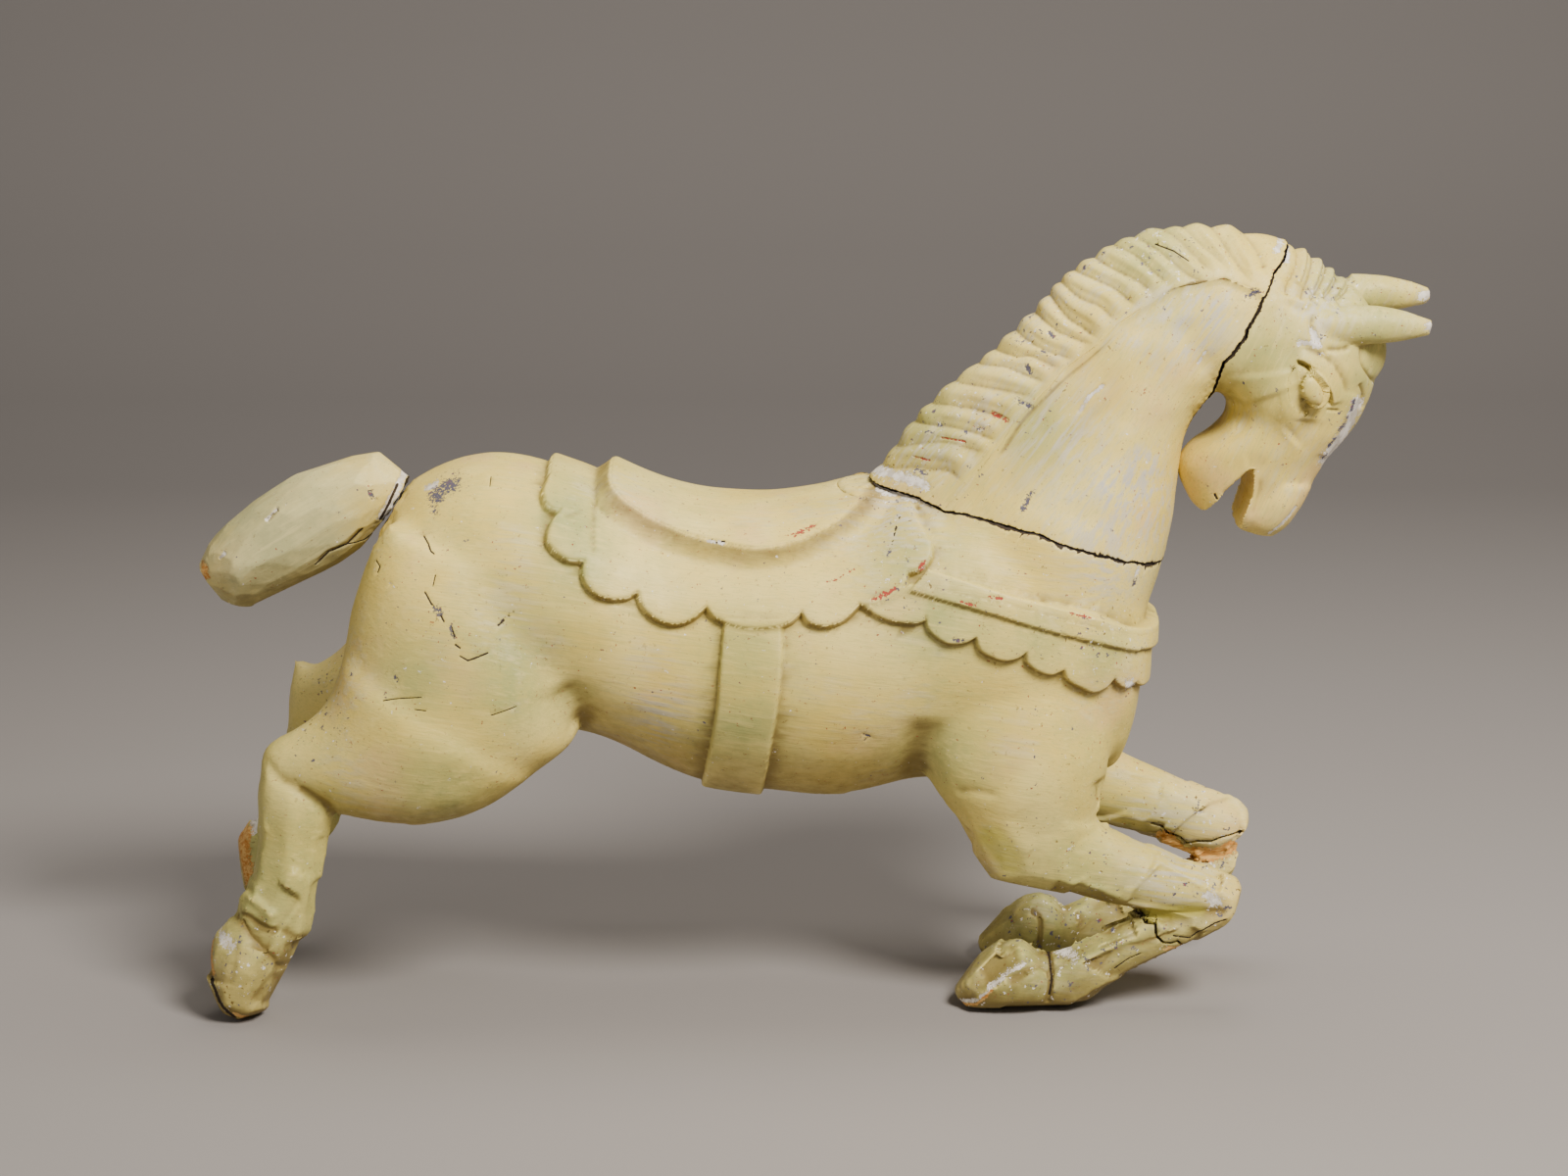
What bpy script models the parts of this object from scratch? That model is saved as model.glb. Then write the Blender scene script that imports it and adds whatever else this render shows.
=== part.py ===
"""Carved wooden carousel horse at a gallop, head tucked, in four glued blocks.

+X points to the muzzle, the shown side faces -Y, and the feet rest on z = 0.
A rib is one slice of a limb: its two points on the side outline (x, z, x, z),
then its half width across Y. A skin is the closed surface through its ribs.
"""

import math

import bmesh
import bpy
from mathutils import Vector

JOINT_GAP = 0.0003
CARVE_STEP = 0.0055
FINE_STEP = 0.0038
RIB_SIDES = 20
SMOOTH_PASSES = 5

BODY_RATIO = 0.030
NECK_RATIO = 0.055
HEAD_RATIO = 0.085

HIND_LEG_Y = 0.095
FORE_LEG_Y = 0.068
THIGH_Y = 0.078
GASKIN_Y = 0.087
ARM_Y = 0.066

CLOTH_RAISE = 0.009
SEAT_RAISE = 0.020
STRAP_RAISE = 0.007
COLLAR_RAISE = 0.013
APRON_RAISE = 0.008
ACROSS = 0.30
CUT_DEPTH = 0.30
CUT_SPREAD = 0.10
THROAT_SPREAD = 0.004

TRUNK_RIBS = (
    (-0.388, 0.450, -0.414, 0.350, 0.050),
    (-0.364, 0.480, -0.400, 0.300, 0.086),
    (-0.325, 0.500, -0.340, 0.262, 0.112),
    (-0.280, 0.505, -0.270, 0.250, 0.124),
    (-0.220, 0.488, -0.200, 0.246, 0.126),
    (-0.130, 0.456, -0.110, 0.204, 0.126),
    (-0.040, 0.448, -0.030, 0.191, 0.129),
    (0.040, 0.461, 0.035, 0.189, 0.131),
    (0.100, 0.480, 0.100, 0.203, 0.128),
    (0.170, 0.484, 0.180, 0.204, 0.118),
    (0.250, 0.440, 0.235, 0.206, 0.098),
    (0.296, 0.400, 0.278, 0.212, 0.074),
    (0.305, 0.368, 0.295, 0.256, 0.044),
)
NECK_RIBS = (
    (0.030, 0.420, 0.300, 0.345, 0.098),
    (0.050, 0.478, 0.318, 0.403, 0.097),
    (0.076, 0.512, 0.326, 0.440, 0.088),
    (0.108, 0.552, 0.330, 0.475, 0.078),
    (0.148, 0.588, 0.335, 0.515, 0.070),
    (0.193, 0.628, 0.343, 0.544, 0.064),
    (0.238, 0.675, 0.353, 0.556, 0.060),
    (0.294, 0.706, 0.359, 0.562, 0.057),
    (0.343, 0.712, 0.361, 0.564, 0.056),
    (0.385, 0.704, 0.363, 0.564, 0.056),
    (0.440, 0.686, 0.366, 0.562, 0.057),
)
HEAD_RIBS = (
    (0.400, 0.710, 0.358, 0.566, 0.055),
    (0.436, 0.694, 0.366, 0.563, 0.057),
    (0.470, 0.672, 0.373, 0.556, 0.060),
    (0.500, 0.640, 0.374, 0.547, 0.062),
    (0.510, 0.604, 0.369, 0.534, 0.062),
    (0.508, 0.568, 0.357, 0.523, 0.058),
    (0.493, 0.532, 0.341, 0.513, 0.052),
    (0.467, 0.499, 0.332, 0.496, 0.046),
    (0.452, 0.472, 0.336, 0.478, 0.041),
    (0.441, 0.449, 0.347, 0.459, 0.037),
    (0.424, 0.432, 0.362, 0.448, 0.028),
)
MUZZLE_RIBS = (
    (0.455, 0.476, 0.392, 0.488, 0.036),
    (0.446, 0.458, 0.384, 0.464, 0.038),
    (0.434, 0.440, 0.381, 0.450, 0.034),
    (0.421, 0.430, 0.389, 0.437, 0.024),
)
FORELOCK_RIBS = (
    (0.452, 0.676, 0.440, 0.640, 0.022),
    (0.486, 0.660, 0.462, 0.624, 0.028),
    (0.514, 0.618, 0.478, 0.604, 0.027),
    (0.517, 0.590, 0.482, 0.578, 0.022),
    (0.506, 0.568, 0.484, 0.560, 0.012),
)
THIGH_RIBS = (
    (-0.380, 0.456, -0.240, 0.400, 0.040),
    (-0.400, 0.421, -0.212, 0.310, 0.062),
    (-0.415, 0.375, -0.214, 0.260, 0.068),
    (-0.422, 0.335, -0.254, 0.224, 0.066),
    (-0.431, 0.308, -0.302, 0.193, 0.060),
    (-0.444, 0.287, -0.364, 0.181, 0.050),
    (-0.462, 0.268, -0.420, 0.192, 0.038),
    (-0.490, 0.254, -0.448, 0.206, 0.027),
    (-0.500, 0.238, -0.440, 0.200, 0.026),
)
CANNON_RIBS = (
    (-0.495, 0.250, -0.440, 0.214, 0.022),
    (-0.501, 0.215, -0.432, 0.195, 0.028),
    (-0.506, 0.165, -0.439, 0.160, 0.027),
    (-0.515, 0.125, -0.447, 0.117, 0.028),
    (-0.526, 0.109, -0.451, 0.088, 0.032),
    (-0.524, 0.094, -0.456, 0.072, 0.031),
)
REAR_HOOF_RIBS = (
    (-0.531, 0.096, -0.466, 0.066, 0.031),
    (-0.547, 0.078, -0.480, 0.046, 0.037),
    (-0.552, 0.058, -0.485, 0.032, 0.038),
    (-0.549, 0.030, -0.497, 0.010, 0.032),
    (-0.540, 0.008, -0.513, -0.004, 0.018),
)
ARM_RIBS = (
    (0.070, 0.340, 0.250, 0.330, 0.040),
    (0.086, 0.260, 0.270, 0.255, 0.052),
    (0.104, 0.218, 0.264, 0.206, 0.050),
    (0.128, 0.182, 0.259, 0.186, 0.044),
    (0.150, 0.142, 0.262, 0.178, 0.038),
    (0.172, 0.120, 0.280, 0.168, 0.034),
    (0.240, 0.105, 0.323, 0.149, 0.030),
    (0.300, 0.090, 0.366, 0.133, 0.027),
    (0.344, 0.072, 0.389, 0.119, 0.025),
    (0.358, 0.066, 0.390, 0.100, 0.021),
)
SHANK_RIBS = (
    (0.382, 0.116, 0.374, 0.078, 0.022),
    (0.345, 0.104, 0.347, 0.060, 0.023),
    (0.290, 0.086, 0.290, 0.030, 0.024),
    (0.248, 0.066, 0.258, 0.004, 0.027),
    (0.226, 0.058, 0.240, -0.003, 0.028),
    (0.204, 0.054, 0.212, -0.002, 0.026),
)
FORE_HOOF_RIBS = (
    (0.206, 0.058, 0.217, 0.004, 0.028),
    (0.190, 0.067, 0.198, -0.004, 0.034),
    (0.168, 0.057, 0.176, -0.005, 0.033),
    (0.145, 0.034, 0.152, -0.001, 0.024),
    (0.134, 0.018, 0.135, 0.010, 0.010),
)
TAIL_RIBS = (
    (-0.368, 0.482, -0.394, 0.444, 0.020),
    (-0.397, 0.503, -0.414, 0.421, 0.037),
    (-0.431, 0.498, -0.450, 0.397, 0.044),
    (-0.474, 0.482, -0.488, 0.379, 0.046),
    (-0.514, 0.457, -0.519, 0.368, 0.041),
    (-0.546, 0.428, -0.545, 0.377, 0.027),
    (-0.560, 0.406, -0.557, 0.393, 0.009),
)
NEAR_EAR_RIBS = (
    (0.436, 0.640, 0.440, 0.612, 0.014),
    (0.456, 0.642, 0.462, 0.611, 0.016),
    (0.489, 0.645, 0.492, 0.611, 0.015),
    (0.524, 0.638, 0.522, 0.615, 0.011),
    (0.551, 0.629, 0.549, 0.621, 0.005),
)

FAR_HIND_SHIFT = Vector((0.000, 0.045))
FAR_FORE_SHIFT = Vector((0.024, 0.033))
FAR_SHANK_SHIFT = Vector((0.028, 0.000))
FAR_EAR_SHIFT = Vector((0.011, 0.020))
EAR_Y = 0.036
TAIL_SIDES = 10
LEG_POWER = 2.6
CREST_SLOPE = 0.30
BROW_SLOPE = 0.20

EYE_CENTRE = (0.449, 0.050, 0.572)
EYE_RADIUS = (0.014, 0.016, 0.017)

MANE_LOCKS = 20
LOCK_RADIUS = 0.0135
LOCK_POINTS = 9
LOCK_REACH = math.radians(66)
LOCK_CURL = 1.3
LOCK_SINK = 0.002
LOCK_TAPER = 0.35
LOCK_START = 0.4
LOCK_SHIFT = 0.55

NECK_PLANE = ((0.048, 0.487), (0.319, 0.410))
HEAD_PLANE = ((0.352, 0.560), (0.4205, 0.698))
TAIL_PLANE = ((-0.392, 0.440), (-0.366, 0.486))

SCALLOP_STEPS = 7
SCALLOP_POWER = 0.7
CLOTH_BACK = (-0.238, 0.560)
CLOTH_CORNERS = (
    (-0.238, 0.487),
    (-0.228, 0.466),
    (-0.208, 0.424),
    (-0.163, 0.392),
    (-0.100, 0.377),
    (-0.014, 0.374),
    (0.040, 0.380),
    (0.086, 0.409),
    (0.096, 0.456),
)
CLOTH_BULGE = 0.016
CLOTH_FRONT = (0.076, 0.560)
SEAT_OUTLINE = (
    (-0.181, 0.560),
    (-0.181, 0.486),
    (-0.160, 0.456),
    (-0.114, 0.430),
    (-0.053, 0.418),
    (0.000, 0.424),
    (0.035, 0.446),
    (0.060, 0.476),
    (0.060, 0.560),
)
STRAP_OUTLINE = (
    (-0.081, 0.385),
    (-0.087, 0.314),
    (-0.101, 0.226),
    (-0.106, 0.150),
    (-0.052, 0.150),
    (-0.045, 0.226),
    (-0.031, 0.310),
    (-0.028, 0.385),
)
COLLAR_OUTLINE = (
    (0.104, 0.426),
    (0.165, 0.410),
    (0.235, 0.388),
    (0.290, 0.370),
    (0.360, 0.360),
    (0.360, 0.332),
    (0.290, 0.345),
    (0.235, 0.361),
    (0.165, 0.384),
    (0.084, 0.404),
)
APRON_CORNERS = (
    (0.052, 0.392),
    (0.098, 0.376),
    (0.146, 0.357),
    (0.188, 0.341),
    (0.226, 0.326),
    (0.264, 0.318),
    (0.300, 0.305),
)
APRON_TOP = (
    (0.360, 0.300),
    (0.360, 0.345),
    (0.165, 0.392),
    (0.084, 0.404),
)
APRON_BULGE = 0.011
GROUND = ((-1.0, -1.0), (1.0, -1.0), (1.0, 0.0), (-1.0, 0.0))
MOUTH_OUTLINE = (
    (0.396, 0.491),
    (0.384, 0.464),
    (0.380, 0.446),
    (0.382, 0.420),
    (0.350, 0.420),
    (0.364, 0.457),
    (0.375, 0.470),
    (0.386, 0.482),
)


def clear_scene():
    """Removes whatever the start-up scene holds."""
    for obj in list(bpy.data.objects):
        bpy.data.objects.remove(obj, do_unlink=True)


def paint(name, colour, roughness):
    """An old paint finish."""
    finish = bpy.data.materials.new(name)
    finish.use_nodes = True
    shader = finish.node_tree.nodes["Principled BSDF"]
    shader.inputs["Base Color"].default_value = (*colour, 1.0)
    shader.inputs["Roughness"].default_value = roughness
    shader.inputs["Metallic"].default_value = 0.0
    return finish


def signed_power(value, power):
    """A sine or cosine raised to 2 / power, its sign kept."""
    return math.copysign(abs(value) ** (2 / power), value)


def rib_point(rib, angle, mid_y=0.0, slope=0.0, power=2.0):
    """The point of one rib at this angle from its first outline point."""
    x1, z1, x2, z2, half = rib
    along = signed_power(math.cos(angle), power)
    across = signed_power(math.sin(angle), power) * (1 - slope * along)
    return Vector((
        (x1 + x2) / 2 + (x1 - x2) / 2 * along,
        mid_y + half * across,
        (z1 + z2) / 2 + (z1 - z2) / 2 * along,
    ))


def close_rings(bm, rings):
    """Joins rings of vertices into one skin and closes both ends."""
    count = len(rings[0])
    for one, two in zip(rings, rings[1:]):
        for k in range(count):
            after = (k + 1) % count
            bm.faces.new((one[k], one[after], two[after], two[k]))
    for ring in (rings[0], rings[-1]):
        middle = bm.verts.new(sum((v.co for v in ring), Vector()) / count)
        for k in range(count):
            bm.faces.new((ring[k], ring[(k + 1) % count], middle))


def add_skin(bm, ribs, mid_y=0.0, slope=0.0, power=2.0, shift=None, sides=RIB_SIDES):
    """Adds the closed skin of one limb, moved in side view by shift."""
    move = Vector((shift[0], 0, shift[1])) if shift else Vector()
    rings = []
    for rib in ribs:
        turns = (math.tau * k / sides for k in range(sides))
        ring = [rib_point(rib, turn, mid_y, slope, power) + move for turn in turns]
        rings.append([bm.verts.new(point) for point in ring])
    close_rings(bm, rings)


def add_tube(bm, points, radii, sides=10):
    """Adds a closed round bar along points."""
    rings = []
    for k, point in enumerate(points):
        before = points[max(k - 1, 0)]
        after = points[min(k + 1, len(points) - 1)]
        run = (after - before).normalized()
        side = run.orthogonal() if not rings else (side - run * side.dot(run))
        side.normalize()
        lift = run.cross(side)
        turns = (math.tau * n / sides for n in range(sides))
        rings.append([
            bm.verts.new(point + radii[k] * (side * math.cos(t) + lift * math.sin(t)))
            for t in turns
        ])
    close_rings(bm, rings)


def add_ball(bm, centre, radius):
    """Adds an egg of three radii."""
    ball = bmesh.ops.create_uvsphere(bm, u_segments=16, v_segments=10, radius=1.0)
    for vert in ball["verts"]:
        vert.co = Vector(
            c + r * value for c, r, value in zip(centre, radius, vert.co)
        )


def mesh_object(name, bm, shown=True):
    """Turns a bmesh into an object. A hidden one only shapes others."""
    bmesh.ops.recalc_face_normals(bm, faces=bm.faces)
    mesh = bpy.data.meshes.new(name)
    bm.to_mesh(mesh)
    bm.free()
    obj = bpy.data.objects.new(name, mesh)
    bpy.context.scene.collection.objects.link(obj)
    if not shown:
        obj.hide_render = True
        obj.display_type = "WIRE"
    return obj


def add_carving(obj, step, ratio, passes=SMOOTH_PASSES):
    """Fuses the skins of an object into one carved surface of few facets."""
    fuse = obj.modifiers.new("fuse", "REMESH")
    fuse.mode = "VOXEL"
    fuse.voxel_size = step
    soften = obj.modifiers.new("soften", "SMOOTH")
    soften.factor = 0.5
    soften.iterations = passes
    facets = obj.modifiers.new("facets", "DECIMATE")
    facets.ratio = ratio


def add_boolean(obj, other, operation):
    """Adds one exact Boolean."""
    cut = obj.modifiers.new(f"{operation.lower()}_{other.name}", "BOOLEAN")
    cut.object = other
    cut.operation = operation
    cut.solver = "EXACT"


def prism(name, outline, low_y=-ACROSS, high_y=ACROSS):
    """A hidden solid: a side outline of (x, z) points carried across Y."""
    bm = bmesh.new()
    front = [bm.verts.new((x, low_y, z)) for x, z in outline]
    back = [bm.verts.new((x, high_y, z)) for x, z in outline]
    count = len(outline)
    bm.faces.new(front)
    bm.faces.new(back)
    for k in range(count):
        after = (k + 1) % count
        bm.faces.new((front[k], front[after], back[after], back[k]))
    return mesh_object(name, bm, shown=False)


def beyond(name, plane, before=CUT_SPREAD, after=CUT_SPREAD):
    """A block whose one face lies on a plane through two side points.

    It lies to the left of the line from the first point to the second, runs past
    both by before and after, and its face stands off the plane by half the gap.
    """
    start = Vector(plane[0])
    end = Vector(plane[1])
    run = (end - start).normalized()
    left = Vector((-run.y, run.x))
    low = start - run * before - left * JOINT_GAP / 2
    high = end + run * after - left * JOINT_GAP / 2
    return prism(name, (low, high, high + left * CUT_DEPTH, low + left * CUT_DEPTH))


def scallops(corners, bulge):
    """An outline that swells out between each pair of corners."""
    outline = []
    for one, two in zip(corners, corners[1:]):
        run = Vector(two) - Vector(one)
        outward = Vector((run.y, -run.x)).normalized()
        for k in range(SCALLOP_STEPS):
            part = k / SCALLOP_STEPS
            swell = bulge * math.sin(math.pi * part) ** SCALLOP_POWER
            outline.append(Vector(one) + run * part + outward * swell)
    outline.append(Vector(corners[-1]))
    return outline


def on_neck(place, angle, stand_off=0.0):
    """A point on the neck at a fractional rib number and an angle."""
    whole = min(int(place), len(NECK_RIBS) - 2)
    part = place - whole
    rib = [a + (b - a) * part for a, b in zip(NECK_RIBS[whole], NECK_RIBS[whole + 1])]
    point = rib_point(rib, angle, slope=CREST_SLOPE)
    middle = Vector(((rib[0] + rib[2]) / 2, 0, (rib[1] + rib[3]) / 2))
    return point + (point - middle).normalized() * stand_off


def crest_place(part):
    """The fractional rib number this far along the crest, from withers to poll."""
    steps = [0.0]
    for one, two in zip(NECK_RIBS[1:], NECK_RIBS[2:]):
        steps.append(steps[-1] + math.hypot(two[0] - one[0], two[1] - one[1]))
    target = part * steps[-1]
    for k in range(1, len(steps)):
        if steps[k] >= target:
            return k + (target - steps[k - 1]) / (steps[k] - steps[k - 1])
    return float(len(steps))


def add_mane(bm):
    """Adds the locks that arch over the crest from side to side."""
    for lock in range(MANE_LOCKS):
        place = crest_place((lock + LOCK_START) / MANE_LOCKS)
        points = []
        radii = []
        for k in range(LOCK_POINTS):
            turn = 2 * k / (LOCK_POINTS - 1) - 1
            lean = place + LOCK_SHIFT * abs(turn) ** LOCK_CURL
            lean = min(lean, len(NECK_RIBS) - 1)
            points.append(on_neck(lean, LOCK_REACH * turn, -LOCK_SINK))
            radii.append(LOCK_RADIUS * (1 - LOCK_TAPER * abs(turn)))
        add_tube(bm, points, radii)


def add_body_skins(bm):
    """Adds the trunk, the root of the neck and the four legs."""
    add_skin(bm, TRUNK_RIBS, slope=-0.06)
    add_skin(bm, NECK_RIBS[:5], slope=CREST_SLOPE)
    for side, lift in ((-1, None), (1, FAR_HIND_SHIFT)):
        half = lift / 2 if lift else None
        add_skin(bm, THIGH_RIBS[:5], side * THIGH_Y)
        add_skin(bm, THIGH_RIBS[3:], side * GASKIN_Y, shift=half)
        add_skin(bm, CANNON_RIBS, side * HIND_LEG_Y, power=LEG_POWER, shift=lift)
        add_skin(bm, REAR_HOOF_RIBS, side * HIND_LEG_Y, power=LEG_POWER, shift=lift)
    add_skin(bm, ARM_RIBS, -ARM_Y)
    add_skin(bm, ARM_RIBS[:4], ARM_Y)
    add_skin(bm, ARM_RIBS[3:], ARM_Y, shift=FAR_FORE_SHIFT)
    for side, shift in ((-1, None), (1, FAR_SHANK_SHIFT)):
        add_skin(bm, SHANK_RIBS, side * FORE_LEG_Y, power=LEG_POWER, shift=shift)
        add_skin(bm, FORE_HOOF_RIBS, side * FORE_LEG_Y, power=LEG_POWER, shift=shift)


def harness(name, outline, raise_by):
    """A hidden layer of carving: the body swollen a little, kept inside an outline."""
    bm = bmesh.new()
    add_body_skins(bm)
    layer = mesh_object(name, bm, shown=False)
    add_carving(layer, CARVE_STEP, BODY_RATIO)
    swell = layer.modifiers.new("swell", "DISPLACE")
    swell.strength = raise_by
    swell.mid_level = 0.0
    add_boolean(layer, prism(f"{name}_outline", outline), "INTERSECT")
    return layer


def build_body(finish):
    """Trunk, legs, saddle, cloth, girth and breast collar: one carved block."""
    bm = bmesh.new()
    add_body_skins(bm)
    body = mesh_object("body", bm)
    add_carving(body, CARVE_STEP, BODY_RATIO)
    cloth = scallops(CLOTH_CORNERS, CLOTH_BULGE)
    cloth.insert(0, Vector(CLOTH_BACK))
    cloth.append(Vector(CLOTH_FRONT))
    apron = scallops(APRON_CORNERS, APRON_BULGE) + [Vector(p) for p in APRON_TOP]
    layers = (
        ("strap", STRAP_OUTLINE, STRAP_RAISE),
        ("cloth", cloth, CLOTH_RAISE),
        ("seat", SEAT_OUTLINE, SEAT_RAISE),
        ("apron", apron, APRON_RAISE),
        ("collar", COLLAR_OUTLINE, COLLAR_RAISE),
    )
    for name, outline, raise_by in layers:
        add_boolean(body, harness(name, outline, raise_by), "UNION")
    add_boolean(body, beyond("above_neck_joint", NECK_PLANE), "DIFFERENCE")
    add_boolean(body, beyond("beyond_tail_joint", TAIL_PLANE), "DIFFERENCE")
    add_boolean(body, prism("under_the_feet", GROUND), "DIFFERENCE")
    body.data.materials.append(finish)
    return body


def build_neck(finish):
    """Neck block with its mane, between the two cracked joints."""
    bm = bmesh.new()
    add_skin(bm, NECK_RIBS, slope=CREST_SLOPE)
    add_mane(bm)
    neck = mesh_object("neck", bm)
    add_carving(neck, FINE_STEP, NECK_RATIO, passes=2)
    below = beyond("below_neck_joint", NECK_PLANE[::-1])
    add_boolean(neck, below, "DIFFERENCE")
    ahead = beyond("ahead_of_head_joint", HEAD_PLANE[::-1], after=THROAT_SPREAD)
    add_boolean(neck, ahead, "DIFFERENCE")
    neck.data.materials.append(finish)
    return neck


def build_head(finish):
    """Head block: cheeks, muzzle, parted lips, eyes, forelock and two ears."""
    bm = bmesh.new()
    add_skin(bm, HEAD_RIBS, slope=BROW_SLOPE)
    add_skin(bm, MUZZLE_RIBS)
    add_skin(bm, FORELOCK_RIBS)
    for side, shift in ((-1, None), (1, FAR_EAR_SHIFT)):
        add_skin(bm, NEAR_EAR_RIBS, side * EAR_Y, shift=shift)
        x, y, z = EYE_CENTRE
        add_ball(bm, (x, side * y, z), EYE_RADIUS)
    head = mesh_object("head", bm)
    add_carving(head, FINE_STEP, HEAD_RATIO, passes=2)
    add_boolean(head, prism("mouth", MOUTH_OUTLINE), "DIFFERENCE")
    behind = beyond("behind_head_joint", HEAD_PLANE, before=THROAT_SPREAD)
    add_boolean(head, behind, "DIFFERENCE")
    head.data.materials.append(finish)
    return head


def build_tail(finish):
    """Docked club tail, left with its knife-cut planes."""
    bm = bmesh.new()
    add_skin(bm, TAIL_RIBS, sides=TAIL_SIDES)
    tail = mesh_object("tail", bm)
    add_boolean(tail, beyond("ahead_of_tail_joint", TAIL_PLANE[::-1]), "DIFFERENCE")
    tail.data.materials.append(finish)
    return tail


def main():
    """Builds the four blocks."""
    clear_scene()
    cream = paint("cream_paint", (0.70, 0.57, 0.26), 0.5)
    grey_cream = paint("greenish_cream_paint", (0.55, 0.52, 0.29), 0.55)
    build_body(cream)
    build_neck(cream)
    build_head(cream)
    build_tail(grey_cream)


main()
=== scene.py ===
"""Carved and painted wooden carousel horse, dressed for its photograph.

Each glued block is fused from ribbed skins, relieved with gouge strokes in side
view, parted at its cracked joints and painted with a worn, layered finish. A rib
is one slice of a limb: its two points on the side outline (x, z, x, z) and its
half width across Y. +X points to the muzzle and the shown side faces -Y.
"""

import logging
import math
from collections.abc import Iterable, Sequence
from dataclasses import dataclass, replace
from enum import Enum

import bmesh
import bpy
import numpy as np
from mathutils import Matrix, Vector


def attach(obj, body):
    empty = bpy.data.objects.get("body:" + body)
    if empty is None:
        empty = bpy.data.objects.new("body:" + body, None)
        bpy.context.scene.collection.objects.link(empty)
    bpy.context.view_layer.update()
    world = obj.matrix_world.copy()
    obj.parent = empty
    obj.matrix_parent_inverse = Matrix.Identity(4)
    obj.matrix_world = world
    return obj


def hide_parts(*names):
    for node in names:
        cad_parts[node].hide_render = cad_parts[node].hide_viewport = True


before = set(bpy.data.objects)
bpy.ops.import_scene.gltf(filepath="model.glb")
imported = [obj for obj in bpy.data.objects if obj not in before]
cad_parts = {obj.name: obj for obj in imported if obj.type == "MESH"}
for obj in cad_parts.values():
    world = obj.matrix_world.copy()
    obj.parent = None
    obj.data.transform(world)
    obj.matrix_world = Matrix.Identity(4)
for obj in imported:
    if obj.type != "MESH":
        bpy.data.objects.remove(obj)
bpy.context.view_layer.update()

LOG = logging.getLogger("horse")

Point2 = tuple[float, float]
Path = tuple[Point2, ...]
RibSizes = tuple[float, float, float, float, float]
Colour = tuple[float, float, float]

GRAIN = 1.0
MOST_TRIANGLES = 192_000


class Side(Enum):
    """Which flank a stroke or a loss is on."""

    NEAR = -1
    BOTH = 0
    FAR = 1


class Cut(Enum):
    """The section a stroke leaves."""

    GROOVE = "groove"
    VEE = "vee"
    RIDGE = "ridge"
    STEP = "step"


class Layer(Enum):
    """What shows where the top paint is lost."""

    MOSS = "moss"
    SLATE = "slate"
    GESSO = "gesso"
    RED = "red"
    WOOD = "wood"
    CRACK = "crack"


def ease(values: np.ndarray, low: float, high: float) -> np.ndarray:
    """Rises smoothly from 0 at low to 1 at high.

    Args:
        values: Numbers to map.
        low: Where the rise starts.
        high: Where the rise ends.

    Returns:
        Numbers from 0 to 1.
    """
    part = np.clip((values - low) / (high - low), 0.0, 1.0)
    return part * part * (3 - 2 * part)


def curve_through(path: Sequence[Sequence[float]], steps: int = 6) -> np.ndarray:
    """Rounds a path of a few points into a smooth one.

    Args:
        path: Points of any number of coordinates.
        steps: New points for each run.

    Returns:
        The denser path.
    """
    corners = np.asarray(path, float)
    if len(corners) < 2:
        return corners
    padded = np.vstack([2 * corners[0] - corners[1], corners, 2 * corners[-1] - corners[-2]])
    parts = np.linspace(0, 1, steps, endpoint=False)[:, None]
    runs = []
    for one, two, three, four in zip(padded, padded[1:], padded[2:], padded[3:]):
        runs.append(0.5 * (
            2 * two
            + (three - one) * parts
            + (2 * one - 5 * two + 4 * three - four) * parts**2
            + (3 * two - one - 3 * three + four) * parts**3
        ))
    return np.vstack([*runs, corners[-1:]])


def lobed(lobes: Iterable[Path]) -> np.ndarray:
    """Draws an edge of rounded lobes with sharp notches between them.

    Args:
        lobes: The points of each lobe; each starts where the last one ends.

    Returns:
        Rows of (x, z).
    """
    runs = []
    start: Path = ()
    for lobe in lobes:
        whole = (*start, *lobe)
        runs.append(curve_through(whole)[:-1])
        start = (whole[-1],)
    return np.vstack([*runs, start])


def waves(points: np.ndarray, length: float, seed: int, count: int = 7) -> np.ndarray:
    """Makes a slow, even unevenness from a few plane waves.

    Args:
        points: Rows of x, y, z.
        length: The waves' length.
        seed: Picks the set of waves.
        count: How many waves are summed.

    Returns:
        One value per point, mostly from -1 to 1.
    """
    pick = np.random.default_rng(seed)
    total = np.zeros(len(points))
    for _ in range(count):
        way = pick.normal(size=3)
        way /= np.linalg.norm(way)
        stretch = pick.uniform(0.6, 1.7)
        total += np.sin(points @ way * math.tau / (length * stretch) + pick.uniform(0, math.tau))
    return total / math.sqrt(count)


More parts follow.
